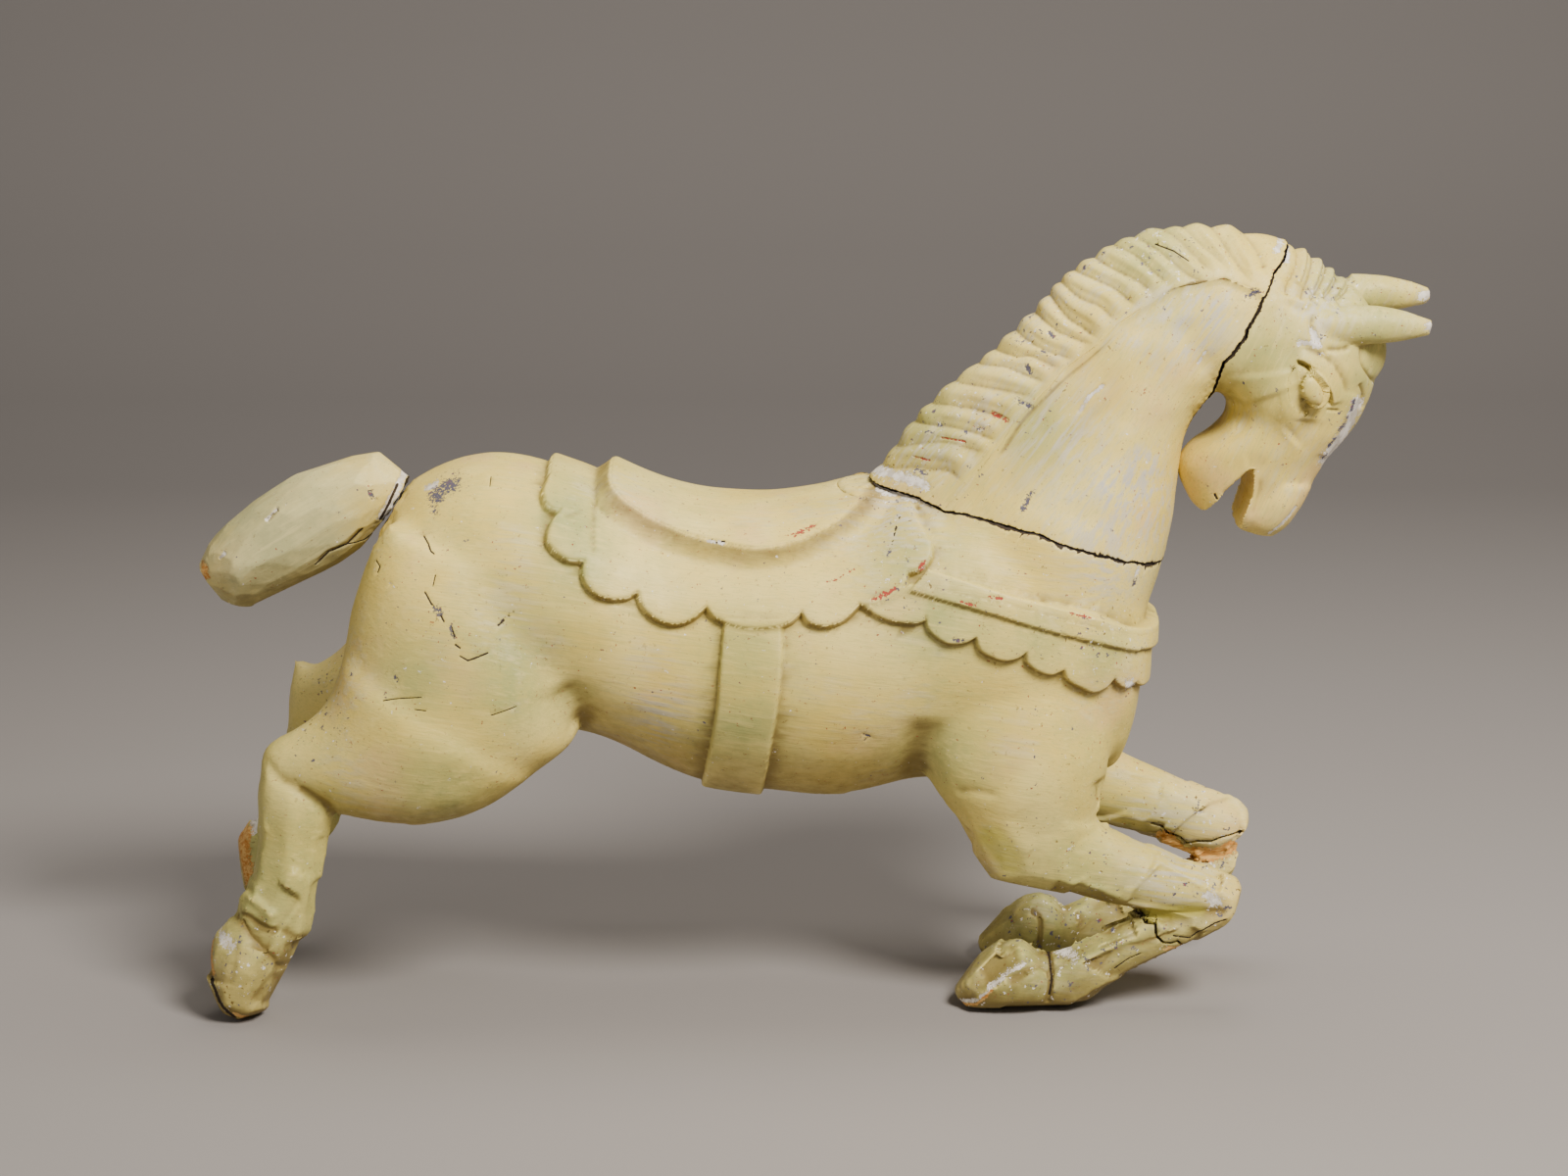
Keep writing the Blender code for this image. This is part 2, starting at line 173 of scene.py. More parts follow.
def nearest_on(path: np.ndarray, flat: np.ndarray) -> tuple[np.ndarray, np.ndarray, np.ndarray, np.ndarray]:
    """Finds the nearest place on a path for each point of the side view.

    Args:
        path: Rows of (x, z).
        flat: Rows of (x, z) to measure from.

    Returns:
        Distances, sides (positive to the left of the path), fractions of the path's
        length, and the nearest places themselves.
    """
    if len(path) < 2:
        path = np.vstack([path, path + 1e-6])
    best = np.full(len(flat), 1e9)
    side = np.zeros(len(flat))
    place = np.zeros(len(flat))
    spot = np.zeros((len(flat), 2))
    runs = np.linalg.norm(np.diff(path, axis=0), axis=1)
    marks = np.concatenate([[0.0], np.cumsum(runs)]) / max(runs.sum(), 1e-9)
    for k, (start, end) in enumerate(zip(path, path[1:])):
        run = end - start
        away = flat - start
        share = np.clip(away @ run / max(run @ run, 1e-12), 0.0, 1.0)
        off = away - share[:, None] * run
        gap = np.hypot(off[:, 0], off[:, 1])
        closer = gap < best
        best = np.where(closer, gap, best)
        side = np.where(closer, np.sign(run[0] * away[:, 1] - run[1] * away[:, 0]), side)
        place = np.where(closer, marks[k] + share * (marks[k + 1] - marks[k]), place)
        spot = np.where(closer[:, None], flat - off, spot)
    return best, side, place, spot


def close_to(path: np.ndarray, flat: np.ndarray, reach: float) -> np.ndarray:
    """Lists the side-view points within a path's bounding box and a reach of it.

    Args:
        path: Rows of (x, z).
        flat: Rows of (x, z) to search.
        reach: How far outside the box still counts.

    Returns:
        The numbers of the points.
    """
    low, high = path.min(axis=0) - reach, path.max(axis=0) + reach
    return np.flatnonzero(((flat > low) & (flat < high)).all(axis=1))


def inside(outline: np.ndarray, flat: np.ndarray) -> np.ndarray:
    """Tells which side-view points lie inside a closed outline.

    Args:
        outline: Rows of (x, z).
        flat: Rows of (x, z) to test.

    Returns:
        True for each point inside.
    """
    held = np.zeros(len(flat), bool)
    for (ax, az), (bx, bz) in zip(outline, np.roll(outline, -1, axis=0)):
        if az == bz:
            continue
        spans = (az > flat[:, 1]) != (bz > flat[:, 1])
        cross = ax + (flat[:, 1] - az) / (bz - az) * (bx - ax)
        held ^= spans & (flat[:, 0] < cross)
    return held


@dataclass(frozen=True)
class Skin:
    """The closed surface through a limb's ribs."""

    ribs: tuple[RibSizes, ...]
    middle: float = 0.0
    slope: float = 0.0
    power: float = 2.0
    shift: Point2 = (0.0, 0.0)
    sides: int = 40

    def add_to(self, bm: bmesh.types.BMesh) -> None:
        """Adds this skin's rings and ends.

        Args:
            bm: The mesh being gathered.
        """
        turns = np.linspace(0, math.tau, self.sides, endpoint=False)
        cosine = np.sign(np.cos(turns)) * np.abs(np.cos(turns)) ** (2 / self.power)
        sine = np.sign(np.sin(turns)) * np.abs(np.sin(turns)) ** (2 / self.power)
        rings = []
        for x1, z1, x2, z2, half in curve_through(self.ribs, 5):
            xs = (x1 + x2) / 2 + (x1 - x2) / 2 * cosine + self.shift[0]
            zs = (z1 + z2) / 2 + (z1 - z2) / 2 * cosine + self.shift[1]
            ys = self.middle + max(half, 0.002) * sine * (1 - self.slope * cosine)
            rings.append([bm.verts.new(p) for p in zip(xs, ys, zs)])
        for one, two in zip(rings, rings[1:]):
            for k in range(self.sides):
                after = (k + 1) % self.sides
                bm.faces.new((one[k], one[after], two[after], two[k]))
        for ring in (rings[0], rings[-1]):
            centre = sum((v.co for v in ring), Vector()) / self.sides
            middle = bm.verts.new(centre)
            for k in range(self.sides):
                bm.faces.new((ring[k], ring[(k + 1) % self.sides], middle))


@dataclass(frozen=True)
class Panel:
    """A raised piece of harness or hair, drawn in side view."""

    edge: np.ndarray
    height: float
    bevel: float = 0.0018
    round_over: float = 0.0040
    wall: float = 0.72
    sweep: float = 1.2
    # How dark the band on and outside the wall is painted: painted shade, with some soiling.
    dirt_and_shade: float = 0.45
    seen: float = 1.0
    dies_at: "Joint | None" = None

    def profile(self, depth: np.ndarray) -> np.ndarray:
        """Gives the share of the height at each distance inside the edge.

        Args:
            depth: Distances, negative outside the edge.

        Returns:
            Numbers from 0 to 1.
        """
        part = np.clip(depth / self.round_over, 0, 1)
        top = self.wall + (1 - self.wall) * np.sqrt(1 - (1 - part) ** 2)
        fall = np.clip(1 + depth / self.bevel, 0, 1)
        return np.where(depth > 0, top, self.wall * fall**self.sweep)

    def depths(self, flat: np.ndarray) -> tuple[np.ndarray, np.ndarray, np.ndarray]:
        """Measures side-view points against the edge.

        Args:
            flat: Rows of (x, z).

        Returns:
            The numbers of the points nearby, their distances inside the edge, and the
            nearest places on it.
        """
        edge = np.asarray(self.edge)
        closed = np.vstack([edge, edge[:1]])
        near = close_to(closed, flat, 0.025)
        gap, _, _, spot = nearest_on(closed, flat[near])
        return near, np.where(inside(edge, flat[near]), gap, -gap), spot


@dataclass(frozen=True)
class Stroke:
    """One pass of a gouge, drawn in side view."""

    path: Path
    width: float
    depth: float
    cut: Cut = Cut.GROOVE
    side: Side = Side.BOTH
    wraps: bool = False
    fade: float = 0.25
    # How dark the cut is painted: painted shade in the groove, with some soiling.
    dirt_and_shade: float = 0.6

    def strength(self, points: np.ndarray, normals: np.ndarray) -> np.ndarray:
        """Measures how fully the stroke reaches each point.

        Args:
            points: Rows of x, y, z.
            normals: Outward directions at the points.

        Returns:
            Numbers from -1 to 1; a step has both signs.
        """
        path = curve_through(self.path)
        reach = np.zeros(len(points))
        flat = points[:, [0, 2]]
        near = close_to(path, flat, 2.2 * self.width)
        if self.side is not Side.BOTH:
            near = near[points[near, 1] * self.side.value > 0]
        if not len(near):
            return reach
        gap, hand, place, _ = nearest_on(path, flat[near])
        if self.cut is Cut.VEE:
            bell = np.exp(-((gap / (self.width / 2)) ** 1.1))
        else:
            bell = np.exp(-((gap / (self.width / 2)) ** 2))
        if self.cut is Cut.STEP:
            bell = bell * hand
        if self.fade > 0:
            bell = bell * ease(place, 0, self.fade) * ease(1 - place, 0, self.fade)
        if not self.wraps:
            facing = normals[near, 1] * np.sign(points[near, 1])
            bell = bell * ease(facing, 0.05, 0.45)
        reach[near] = bell
        return reach


@dataclass(frozen=True)
class Loss:
    """A place or a line where the top paint is lost, in side view."""

    layer: Layer
    width: float
    path: Path
    side: Side = Side.NEAR
    depth: float = 0.0004

    def mask(self, points: np.ndarray) -> np.ndarray:
        """Gives 1 on the path, falling off over the width.

        Args:
            points: Rows of x, y, z.

        Returns:
            Numbers from 0 to 1.
        """
        path = np.asarray(self.path, float)
        flat = points[:, [0, 2]]
        whole = np.zeros(len(points))
        near = close_to(path, flat, 2.5 * self.width)
        if self.side is not Side.BOTH:
            near = near[points[near, 1] * self.side.value > -0.012]
        if len(near):
            gap = nearest_on(path, flat[near])[0]
            whole[near] = np.exp(-((gap / self.width) ** 2))
        return whole


@dataclass(frozen=True)
class Facet:
    """One flat knife cut, sloping inwards on the left of a line in side view."""

    start: Point2
    end: Point2
    out: float
    slope: float
    core: float
    reach: float = 0.05
    spread: float = 0.01
    side: Side = Side.NEAR


@dataclass(frozen=True)
class Joint:
    """A cracked glue line between two blocks, as a plane seen from the side."""

    start: Point2
    end: Point2
    wander: Path
    seed: int
    reach: float = 0.022
    gap: float = 0.0008
    spans: Point2 = (-0.25, 1.25)

    def frame(self) -> tuple[np.ndarray, np.ndarray, np.ndarray]:
        """Gives a point of the plane, its run and the way to its left."""
        start, end = np.asarray(self.start), np.asarray(self.end)
        run = end - start
        return start, run, np.array([-run[1], run[0]]) / np.linalg.norm(run)

    def away(self, points: np.ndarray) -> np.ndarray:
        """Gives each point's distance to the left of the plane."""
        start, _, left = self.frame()
        return (points[:, [0, 2]] - start) @ left

    def share(self, points: np.ndarray) -> np.ndarray:
        """Gives each point's place along the line, 0 to 1 between its ends."""
        start, run, _ = self.frame()
        return (points[:, [0, 2]] - start) @ run / (run @ run)

    def about(self, points: np.ndarray, reach: float) -> np.ndarray:
        """Tells which points lie within a reach of the joint."""
        share = self.share(points)
        return (np.abs(self.away(points)) < reach) & (share > -0.3) & (share < 1.3)

    def closeness(self, points: np.ndarray) -> np.ndarray:
        """Gives 1 on the cut faces and beside them, falling off within 1 mm."""
        off = (np.abs(self.away(points)) - self.gap / 2) / 0.0006
        share = self.share(points)
        return np.exp(-off * off) * ((share > -0.3) & (share < 1.3))

    def bend(self, points: np.ndarray) -> np.ndarray:
        """Moves points so that the flat cut follows the real crack.

        Args:
            points: Rows of x, y, z.

        Returns:
            The moved points.
        """
        _, _, left = self.frame()
        away, share = self.away(points), self.share(points)
        flat = points.copy()
        flat[:, 0] -= away * left[0]
        flat[:, 2] -= away * left[1]
        ways, offs = zip(*self.wander)
        stray = np.interp(share, ways, offs) * ease(-points[:, 1], -0.05, 0.03)
        stray += 0.0005 * waves(flat, 0.020, self.seed) + 0.0004 * waves(flat, 0.007, self.seed + 1)
        fade = np.exp(-((away / self.reach) ** 2)) * ease(share, -0.35, -0.1) * ease(1 - share, -0.35, -0.1)
        out = points.copy()
        out[:, 0] += stray * fade * left[0]
        out[:, 2] += stray * fade * left[1]
        return out


class Form:
    """A carved shape: the points and triangles of one closed mesh."""

    def __init__(self, points: np.ndarray, faces: np.ndarray) -> None:
        """Holds the mesh.

        Args:
            points: Rows of x, y, z.
            faces: Rows of three corner numbers.
        """
        self.points = points
        self.faces = faces
        self.cracked = np.zeros(len(points))

    @classmethod
    def fused(cls, parts: Iterable[Skin], grain: float, passes: int) -> "Form":
        """Fuses skins into one smooth shape.

        Args:
            parts: The skins.
            grain: Spacing of the mesh.
            passes: How far the inner corners are rounded.

        Returns:
            The fused form.
        """
        bm = bmesh.new()
        for part in parts:
            part.add_to(bm)
        bmesh.ops.recalc_face_normals(bm, faces=bm.faces)
        block = cls._object_from(bm, "block")
        fuse = block.modifiers.new("fuse", "REMESH")
        fuse.mode = "VOXEL"
        fuse.voxel_size = grain * GRAIN
        soften = block.modifiers.new("soften", "SMOOTH")
        soften.factor = 0.5
        soften.iterations = passes
        return cls.taken_from(block)

    @staticmethod
    def _object_from(bm: bmesh.types.BMesh, name: str) -> bpy.types.Object:
        """Links a gathered mesh as an object and frees it."""
        made = bpy.data.objects.new(name, bpy.data.meshes.new(name))
        bm.to_mesh(made.data)
        bm.free()
        bpy.context.scene.collection.objects.link(made)
        return made

    @classmethod
    def taken_from(cls, block: bpy.types.Object) -> "Form":
        """Reads an object's finished mesh, then removes the object.

        Args:
            block: The object, with its modifiers.

        Returns:
            Its form.
        """
        done = block.evaluated_get(bpy.context.evaluated_depsgraph_get())
        mesh = done.to_mesh()
        mesh.calc_loop_triangles()
        points = np.empty(len(mesh.vertices) * 3, np.float32)
        mesh.vertices.foreach_get("co", points)
        faces = np.empty(len(mesh.loop_triangles) * 3, np.int32)
        mesh.loop_triangles.foreach_get("vertices", faces)
        done.to_mesh_clear()
        old = block.data
        bpy.data.objects.remove(block, do_unlink=True)
        bpy.data.meshes.remove(old)
        return cls(points.reshape(-1, 3).astype(float), faces.reshape(-1, 3).astype(np.int64))

    def normals(self) -> np.ndarray:
        """Gives the outward direction at each point."""
        corners = self.points[self.faces]
        cross = np.cross(corners[:, 1] - corners[:, 0], corners[:, 2] - corners[:, 0])
        total = np.empty_like(self.points)
        flat = self.faces.reshape(-1)
        for axis in range(3):
            total[:, axis] = np.bincount(flat, np.repeat(cross[:, axis], 3), len(self.points))
        return total / np.maximum(np.linalg.norm(total, axis=1, keepdims=True), 1e-12)

    def edges(self) -> np.ndarray:
        """Gives each edge as a pair of point numbers."""
        pairs = np.concatenate([self.faces[:, [0, 1]], self.faces[:, [1, 2]], self.faces[:, [2, 0]]])
        pairs.sort(axis=1)
        keys = np.unique(pairs[:, 0] * len(self.points) + pairs[:, 1])
        return np.stack([keys // len(self.points), keys % len(self.points)], axis=1)

    def push(self, amount: np.ndarray) -> None:
        """Moves each point outwards by its own amount."""
        self.points = self.points + self.normals() * amount[:, None]

    def soften(self, passes: int, weight: np.ndarray | float = 1.0) -> None:
        """Evens the surface out.

        Args:
            passes: How many times.
            weight: 0 to 1, for each point.
        """
        edges = self.edges()
        count = len(self.points)
        degree = np.maximum(np.bincount(edges.reshape(-1), minlength=count), 1)
        held = np.broadcast_to(np.asarray(weight, float), (count,))[:, None] * 0.5
        for _ in range(passes):
            mean = np.empty_like(self.points)
            for axis in range(3):
                total = np.bincount(edges[:, 0], self.points[edges[:, 1], axis], count)
                total += np.bincount(edges[:, 1], self.points[edges[:, 0], axis], count)
                mean[:, axis] = total / degree
            self.points = self.points + (mean - self.points) * held

    def refine(self, chosen: np.ndarray) -> None:
        """Halves every edge between chosen points.

        Args:
            chosen: True for each point whose surroundings need a finer mesh.
        """
        count = len(self.points)
        ends = np.sort(np.stack([self.faces, np.roll(self.faces, -1, axis=1)], axis=2), axis=2)
        keys, place = np.unique(ends[:, :, 0] * count + ends[:, :, 1], return_inverse=True)
        place = place.reshape(-1, 3)
        one, two = keys // count, keys % count
        split = chosen[one] & chosen[two]
        while True:
            half = split[place].sum(axis=1) == 2
            if not half.any():
                break
            split[place[half]] = True
        fresh = np.cumsum(split) - 1 + count
        self.points = np.vstack([self.points, (self.points[one[split]] + self.points[two[split]]) / 2])
        marks, mids = split[place], fresh[place]
        number = marks.sum(axis=1)
        parts = [self.faces[number == 0]]
        for k in range(3):
            pick = (number == 1) & marks[:, k]
            a, b, c = (self.faces[pick, (k + turn) % 3] for turn in range(3))
            parts += [np.stack([a, mids[pick, k], c], axis=1), np.stack([mids[pick, k], b, c], axis=1)]
        pick = number == 3
        a, b, c = self.faces[pick].T
        ab, bc, ca = mids[pick].T
        for corner in ((a, ab, ca), (ab, b, bc), (ca, bc, c), (ab, bc, ca)):
            parts.append(np.stack(corner, axis=1))
        self.faces = np.vstack(parts)

    def lifted(self, height: float) -> np.ndarray:
        """Gives the side-view places of the points once raised by a height."""
        return (self.points + self.normals() * height)[:, [0, 2]]

    def near(self, paths: Iterable[np.ndarray], reach: float, height: float = 0.0) -> np.ndarray:
        """Tells which points lie within a reach of any path, in side view.

        Args:
            paths: Rows of (x, z) each.
            reach: The distance.
            height: How far the points will be raised.

        Returns:
            True for each point that does.
        """
        flat = self.lifted(height)
        chosen = np.zeros(len(flat), bool)
        for path in paths:
            close = close_to(path, flat, reach)
            close = close[~chosen[close]]
            if len(close):
                chosen[close] = nearest_on(path, flat[close])[0] < reach
        return chosen

    def raise_panels(self, panels: Iterable[Panel]) -> None:
        """Raises the surface inside each panel's edge, with a crisp wall.

        Where panels overlap, the higher one shows; one of negative height is sunk.

        Args:
            panels: The panels.
        """
        normals = self.normals()
        lift = np.zeros(len(self.points))
        for panel in panels:
            flat = (self.points + normals * panel.height * panel.seen)[:, [0, 2]]
            near, depth, spot = panel.depths(flat)
            snap = np.abs(depth) < 0.0007
            move = spot[snap] - flat[near[snap]]
            self.points[near[snap], 0] += move[:, 0]
            self.points[near[snap], 2] += move[:, 1]
            amount = panel.height * panel.profile(np.where(snap, 1e-6, depth))
            if panel.dies_at is not None:
                amount = amount * ease(-panel.dies_at.away(self.points[near]), -0.001, 0.020)
            lift[near] = lift[near] + amount if panel.height < 0 else np.maximum(lift[near], amount)
        self.points = self.points + normals * lift[:, None]

    def pare(self, facet: "Facet") -> None:
        """Cuts one flat facet on a limb.

        Args:
            facet: The facet.
        """
        start, end = np.asarray(facet.start), np.asarray(facet.end)
        run = (end - start) / np.linalg.norm(end - start)
        off = self.points[:, [0, 2]] - start
        along = off @ run
        beyond = off @ np.array([-run[1], run[0]])
        limit = facet.out - facet.slope * beyond
        hand = facet.side.value
        outer = self.points[:, 1] * hand
        reach = (along > -facet.spread) & (along < np.linalg.norm(end - start) + facet.spread)
        over = reach & (beyond > 0) & (beyond < facet.reach) & (outer > np.maximum(limit, facet.core))
        self.points[over, 1] = hand * np.maximum(limit, facet.core)[over]

    def carve(self, strokes: Sequence[Stroke]) -> None:
        """Cuts a set of strokes, all measured on the surface as it is."""
        normals = self.normals()
        total = np.zeros(len(self.points))
        for stroke in strokes:
            sign = 1.0 if stroke.cut is Cut.RIDGE else -1.0
            total += sign * stroke.depth * stroke.strength(self.points, normals)
        self.points = self.points + normals * total[:, None]

    def knife(self, weight: np.ndarray, spacing: float, depth: float, seed: int) -> None:
        """Pares the surface into flat cuts, as a knife leaves it.

        Args:
            weight: 0 to 1, for each point.
            spacing: Distance between the middles of the cuts.
            depth: The most that a cut may take or leave.
            seed: Picks the places of the cuts.
        """
        chosen = np.flatnonzero(weight > 0.02)
        chosen = chosen[np.argsort(self.points[chosen, 0])]
        spots, ways = self.points[chosen], self.normals()[chosen]
        order = np.random.default_rng(seed).permutation(len(chosen))
        cells = np.floor(spots[order] / spacing).astype(np.int64) @ np.array([1, 1009, 1013 * 1009])
        seeds = order[np.unique(cells, return_index=True)[1]]
        drop = np.full(len(chosen), 1e9)
        reach = spacing * 1.8
        for k in seeds:
            low, high = np.searchsorted(spots[:, 0], [spots[k, 0] - reach, spots[k, 0] + reach])
            off = spots[k] - spots[low:high]
            tilt = ways[low:high] @ ways[k]
            fits = ((off * off).sum(axis=1) < reach * reach) & (tilt > 0.45)
            fall = np.where(fits, (off @ ways[k]) / np.maximum(tilt, 0.45), 1e9)
            drop[low:high] = np.minimum(drop[low:high], fall)
        drop = np.where(drop > 1e8, 0.0, np.clip(drop, -depth, depth))
        amount = np.zeros(len(self.points))
        amount[chosen] = drop * weight[chosen]
        self.push(amount)

    def part_at(self, joint: Joint, keep_left: bool) -> None:
        """Cuts the form at a joint and closes the cut.

        Args:
            joint: The glue line.
            keep_left: Whether the side to the left of the line stays.
        """
        away = joint.away(self.points) * (1 if keep_left else -1) - joint.gap / 2
        away = np.where(np.abs(away) < 1e-6, 1e-6, away)
        share = joint.share(self.points)
        drop = (away < 0) & (share > joint.spans[0]) & (share < joint.spans[1])
        lost = drop[self.faces]
        number = lost.sum(axis=1)
        count = len(self.points)
        crossings: dict[tuple[int, int], int] = {}
        fresh = []

        def crossing(kept: int, gone: int) -> int:
            """Gives the new point where an edge meets the plane."""
            key = (kept, gone)
            if key not in crossings:
                part = max(away[kept], 0.0) / (max(away[kept], 0.0) - away[gone])
                fresh.append(self.points[kept] + part * (self.points[gone] - self.points[kept]))
                crossings[key] = count + len(fresh) - 1
            return crossings[key]

        faces = []
        rim = []
        for k in np.flatnonzero((number == 1) | (number == 2)):
            turn = int(np.argmax(lost[k] if number[k] == 1 else ~lost[k]))
            one, two, three = (int(self.faces[k, (turn + step) % 3]) for step in range(3))
            if number[k] == 1:
                p, q = crossing(two, one), crossing(three, one)
                faces += [(p, two, three), (p, three, q)]
                rim.append((p, q))
            else:
                p, q = crossing(one, two), crossing(one, three)
                faces.append((one, p, q))
                rim.append((q, p))
        centre = count + len(fresh)
        fresh.append(np.mean([fresh[p - count] for p, _ in rim], axis=0))
        faces += [(p, q, centre) for p, q in rim]
        points = np.vstack([self.points, fresh])
        whole = np.vstack([self.faces[number == 0], faces])
        used, place = np.unique(whole, return_inverse=True)
        self.points = points[used]
        self.faces = place.reshape(-1, 3)

    def hollows(self) -> tuple[np.ndarray, np.ndarray]:
        """Measures how the surface bends at each point.

        Returns:
            A fine and a broad measure, positive in hollows and negative on edges.
        """
        edges = self.edges()
        count = len(self.points)
        degree = np.maximum(np.bincount(edges.reshape(-1), minlength=count), 1)
        normals = self.normals()
        gap = self.points[edges[:, 1]] - self.points[edges[:, 0]]
        square = np.maximum((gap * gap).sum(axis=1), 2.5e-7)
        one = (gap * normals[edges[:, 0]]).sum(axis=1) / square
        two = -(gap * normals[edges[:, 1]]).sum(axis=1) / square
        bend = (np.bincount(edges[:, 0], one, count) + np.bincount(edges[:, 1], two, count)) / degree
        bend = np.clip(bend, -150, 150)

        fine = self.evened(bend, 3)
        return fine, self.evened(fine, 20)

    def evened(self, values: np.ndarray, passes: int) -> np.ndarray:
        """Evens values out over neighbouring points.

        Args:
            values: One number for each point.
            passes: How often each point takes on its neighbours' values.

        Returns:
            The evened numbers.
        """
        edges, count = self.edges(), len(self.points)
        degree = np.maximum(np.bincount(edges.reshape(-1), minlength=count), 1)
        for _ in range(passes):
            total = np.bincount(edges[:, 0], values[edges[:, 1]], count)
            total += np.bincount(edges[:, 1], values[edges[:, 0]], count)
            values = 0.4 * values + 0.6 * total / degree
        return values

    def object_named(self, name: str) -> bpy.types.Object:
        """Makes a smooth-shaded object of this form."""
        mesh = bpy.data.meshes.new(name)
        mesh.vertices.add(len(self.points))
        mesh.vertices.foreach_set("co", self.points.astype(np.float32).reshape(-1))
        mesh.loops.add(self.faces.size)
        mesh.loops.foreach_set("vertex_index", self.faces.astype(np.int32).reshape(-1))
        mesh.polygons.add(len(self.faces))
        starts = np.arange(0, self.faces.size, 3, dtype=np.int32)
        mesh.polygons.foreach_set("loop_start", starts)
        mesh.polygons.foreach_set("use_smooth", np.ones(len(starts), bool))
        mesh.update(calc_edges=True)
        made = bpy.data.objects.new(name, mesh)
        bpy.context.scene.collection.objects.link(made)
        return made


class NodeWeb:
    """Short names for the shader nodes that the finishes use."""

    def __init__(self, tree: bpy.types.NodeTree) -> None:
        """Holds the node tree being filled."""
        self.tree = tree

    def node(self, kind: str) -> bpy.types.Node:
        """Adds one node."""
        return self.tree.nodes.new(kind)

    def join(self, value: object, socket: bpy.types.NodeSocket) -> None:
        """Puts a socket, number or colour into a socket."""
        if isinstance(value, bpy.types.NodeSocket):
            self.tree.links.new(value, socket)
        elif isinstance(value, tuple) and len(value) == 3 and socket.type == "RGBA":
            socket.default_value = (*value, 1.0)
        else:
            socket.default_value = value

    def reckon(self, kind: str, one: object, two: object, held: bool = False) -> bpy.types.NodeSocket:
        """Adds one arithmetic node."""
        made = self.node("ShaderNodeMath")
        made.operation = kind
        made.use_clamp = held
        self.join(one, made.inputs[0])
        self.join(two, made.inputs[1])
        return made.outputs[0]

    def plus(self, one: object, two: object) -> bpy.types.NodeSocket:
        """Adds two values."""
        return self.reckon("ADD", one, two)

    def minus(self, one: object, two: object) -> bpy.types.NodeSocket:
        """Takes the second value from the first."""
        return self.reckon("SUBTRACT", one, two)

    def times(self, one: object, two: object) -> bpy.types.NodeSocket:
        """Multiplies two values."""
        return self.reckon("MULTIPLY", one, two)

    def most(self, one: object, two: object) -> bpy.types.NodeSocket:
        """Takes the larger of two values."""
        return self.reckon("MAXIMUM", one, two)

    def clamp(self, one: object) -> bpy.types.NodeSocket:
        """Holds a value between 0 and 1."""
        return self.reckon("ADD", one, 0.0, held=True)

    def rise(self, value: object, low: float, high: float) -> bpy.types.NodeSocket:
        """Maps a value smoothly to 0 at low and 1 at high."""
        made = self.node("ShaderNodeMapRange")
        made.interpolation_type = "SMOOTHSTEP"
        flip = low > high
        self.join(value, made.inputs["Value"])
        made.inputs["From Min"].default_value = min(low, high)
        made.inputs["From Max"].default_value = max(low, high)
        made.inputs["To Min"].default_value = 1.0 if flip else 0.0
        made.inputs["To Max"].default_value = 0.0 if flip else 1.0
        return made.outputs["Result"]

    def blend(self, share: object, one: object, two: object) -> bpy.types.NodeSocket:
        """Mixes two colours."""
        made = self.node("ShaderNodeMix")
        made.data_type = "RGBA"
        self.join(share, made.inputs[0])
        self.join(one, made.inputs[6])
        self.join(two, made.inputs[7])
        return made.outputs[2]

    def noise(self, spot: object, scale: float, detail: float, rough: float) -> bpy.types.NodeSocket:
        """Adds cloudy noise."""
        made = self.node("ShaderNodeTexNoise")
        self.join(spot, made.inputs["Vector"])
        made.inputs["Scale"].default_value = scale
        made.inputs["Detail"].default_value = detail
        made.inputs["Roughness"].default_value = rough
        return made.outputs["Fac"]

    def streaks(self, spot: object, lean: float, along: float, across: float) -> bpy.types.NodeSocket:
        """Adds noise drawn out along one way of the side view.

        Args:
            spot: Place on the object.
            lean: Angle of the streaks above +X.
            along: Length of a streak.
            across: Width of a streak.

        Returns:
            The noise.
        """
        made = self.node("ShaderNodeMapping")
        made.vector_type = "TEXTURE"
        self.join(spot, made.inputs["Vector"])
        made.inputs["Rotation"].default_value = (0.0, -lean, 0.0)
        made.inputs["Scale"].default_value = (along, across, across)
        return self.noise(made.outputs["Vector"], 1.0, 3.0, 0.6)

    def read(self, name: str) -> bpy.types.NodeSocket:
        """Reads one measure stored on the mesh."""
        made = self.node("ShaderNodeAttribute")
        made.attribute_type = "GEOMETRY"
        made.attribute_name = name
        return made.outputs["Fac"]


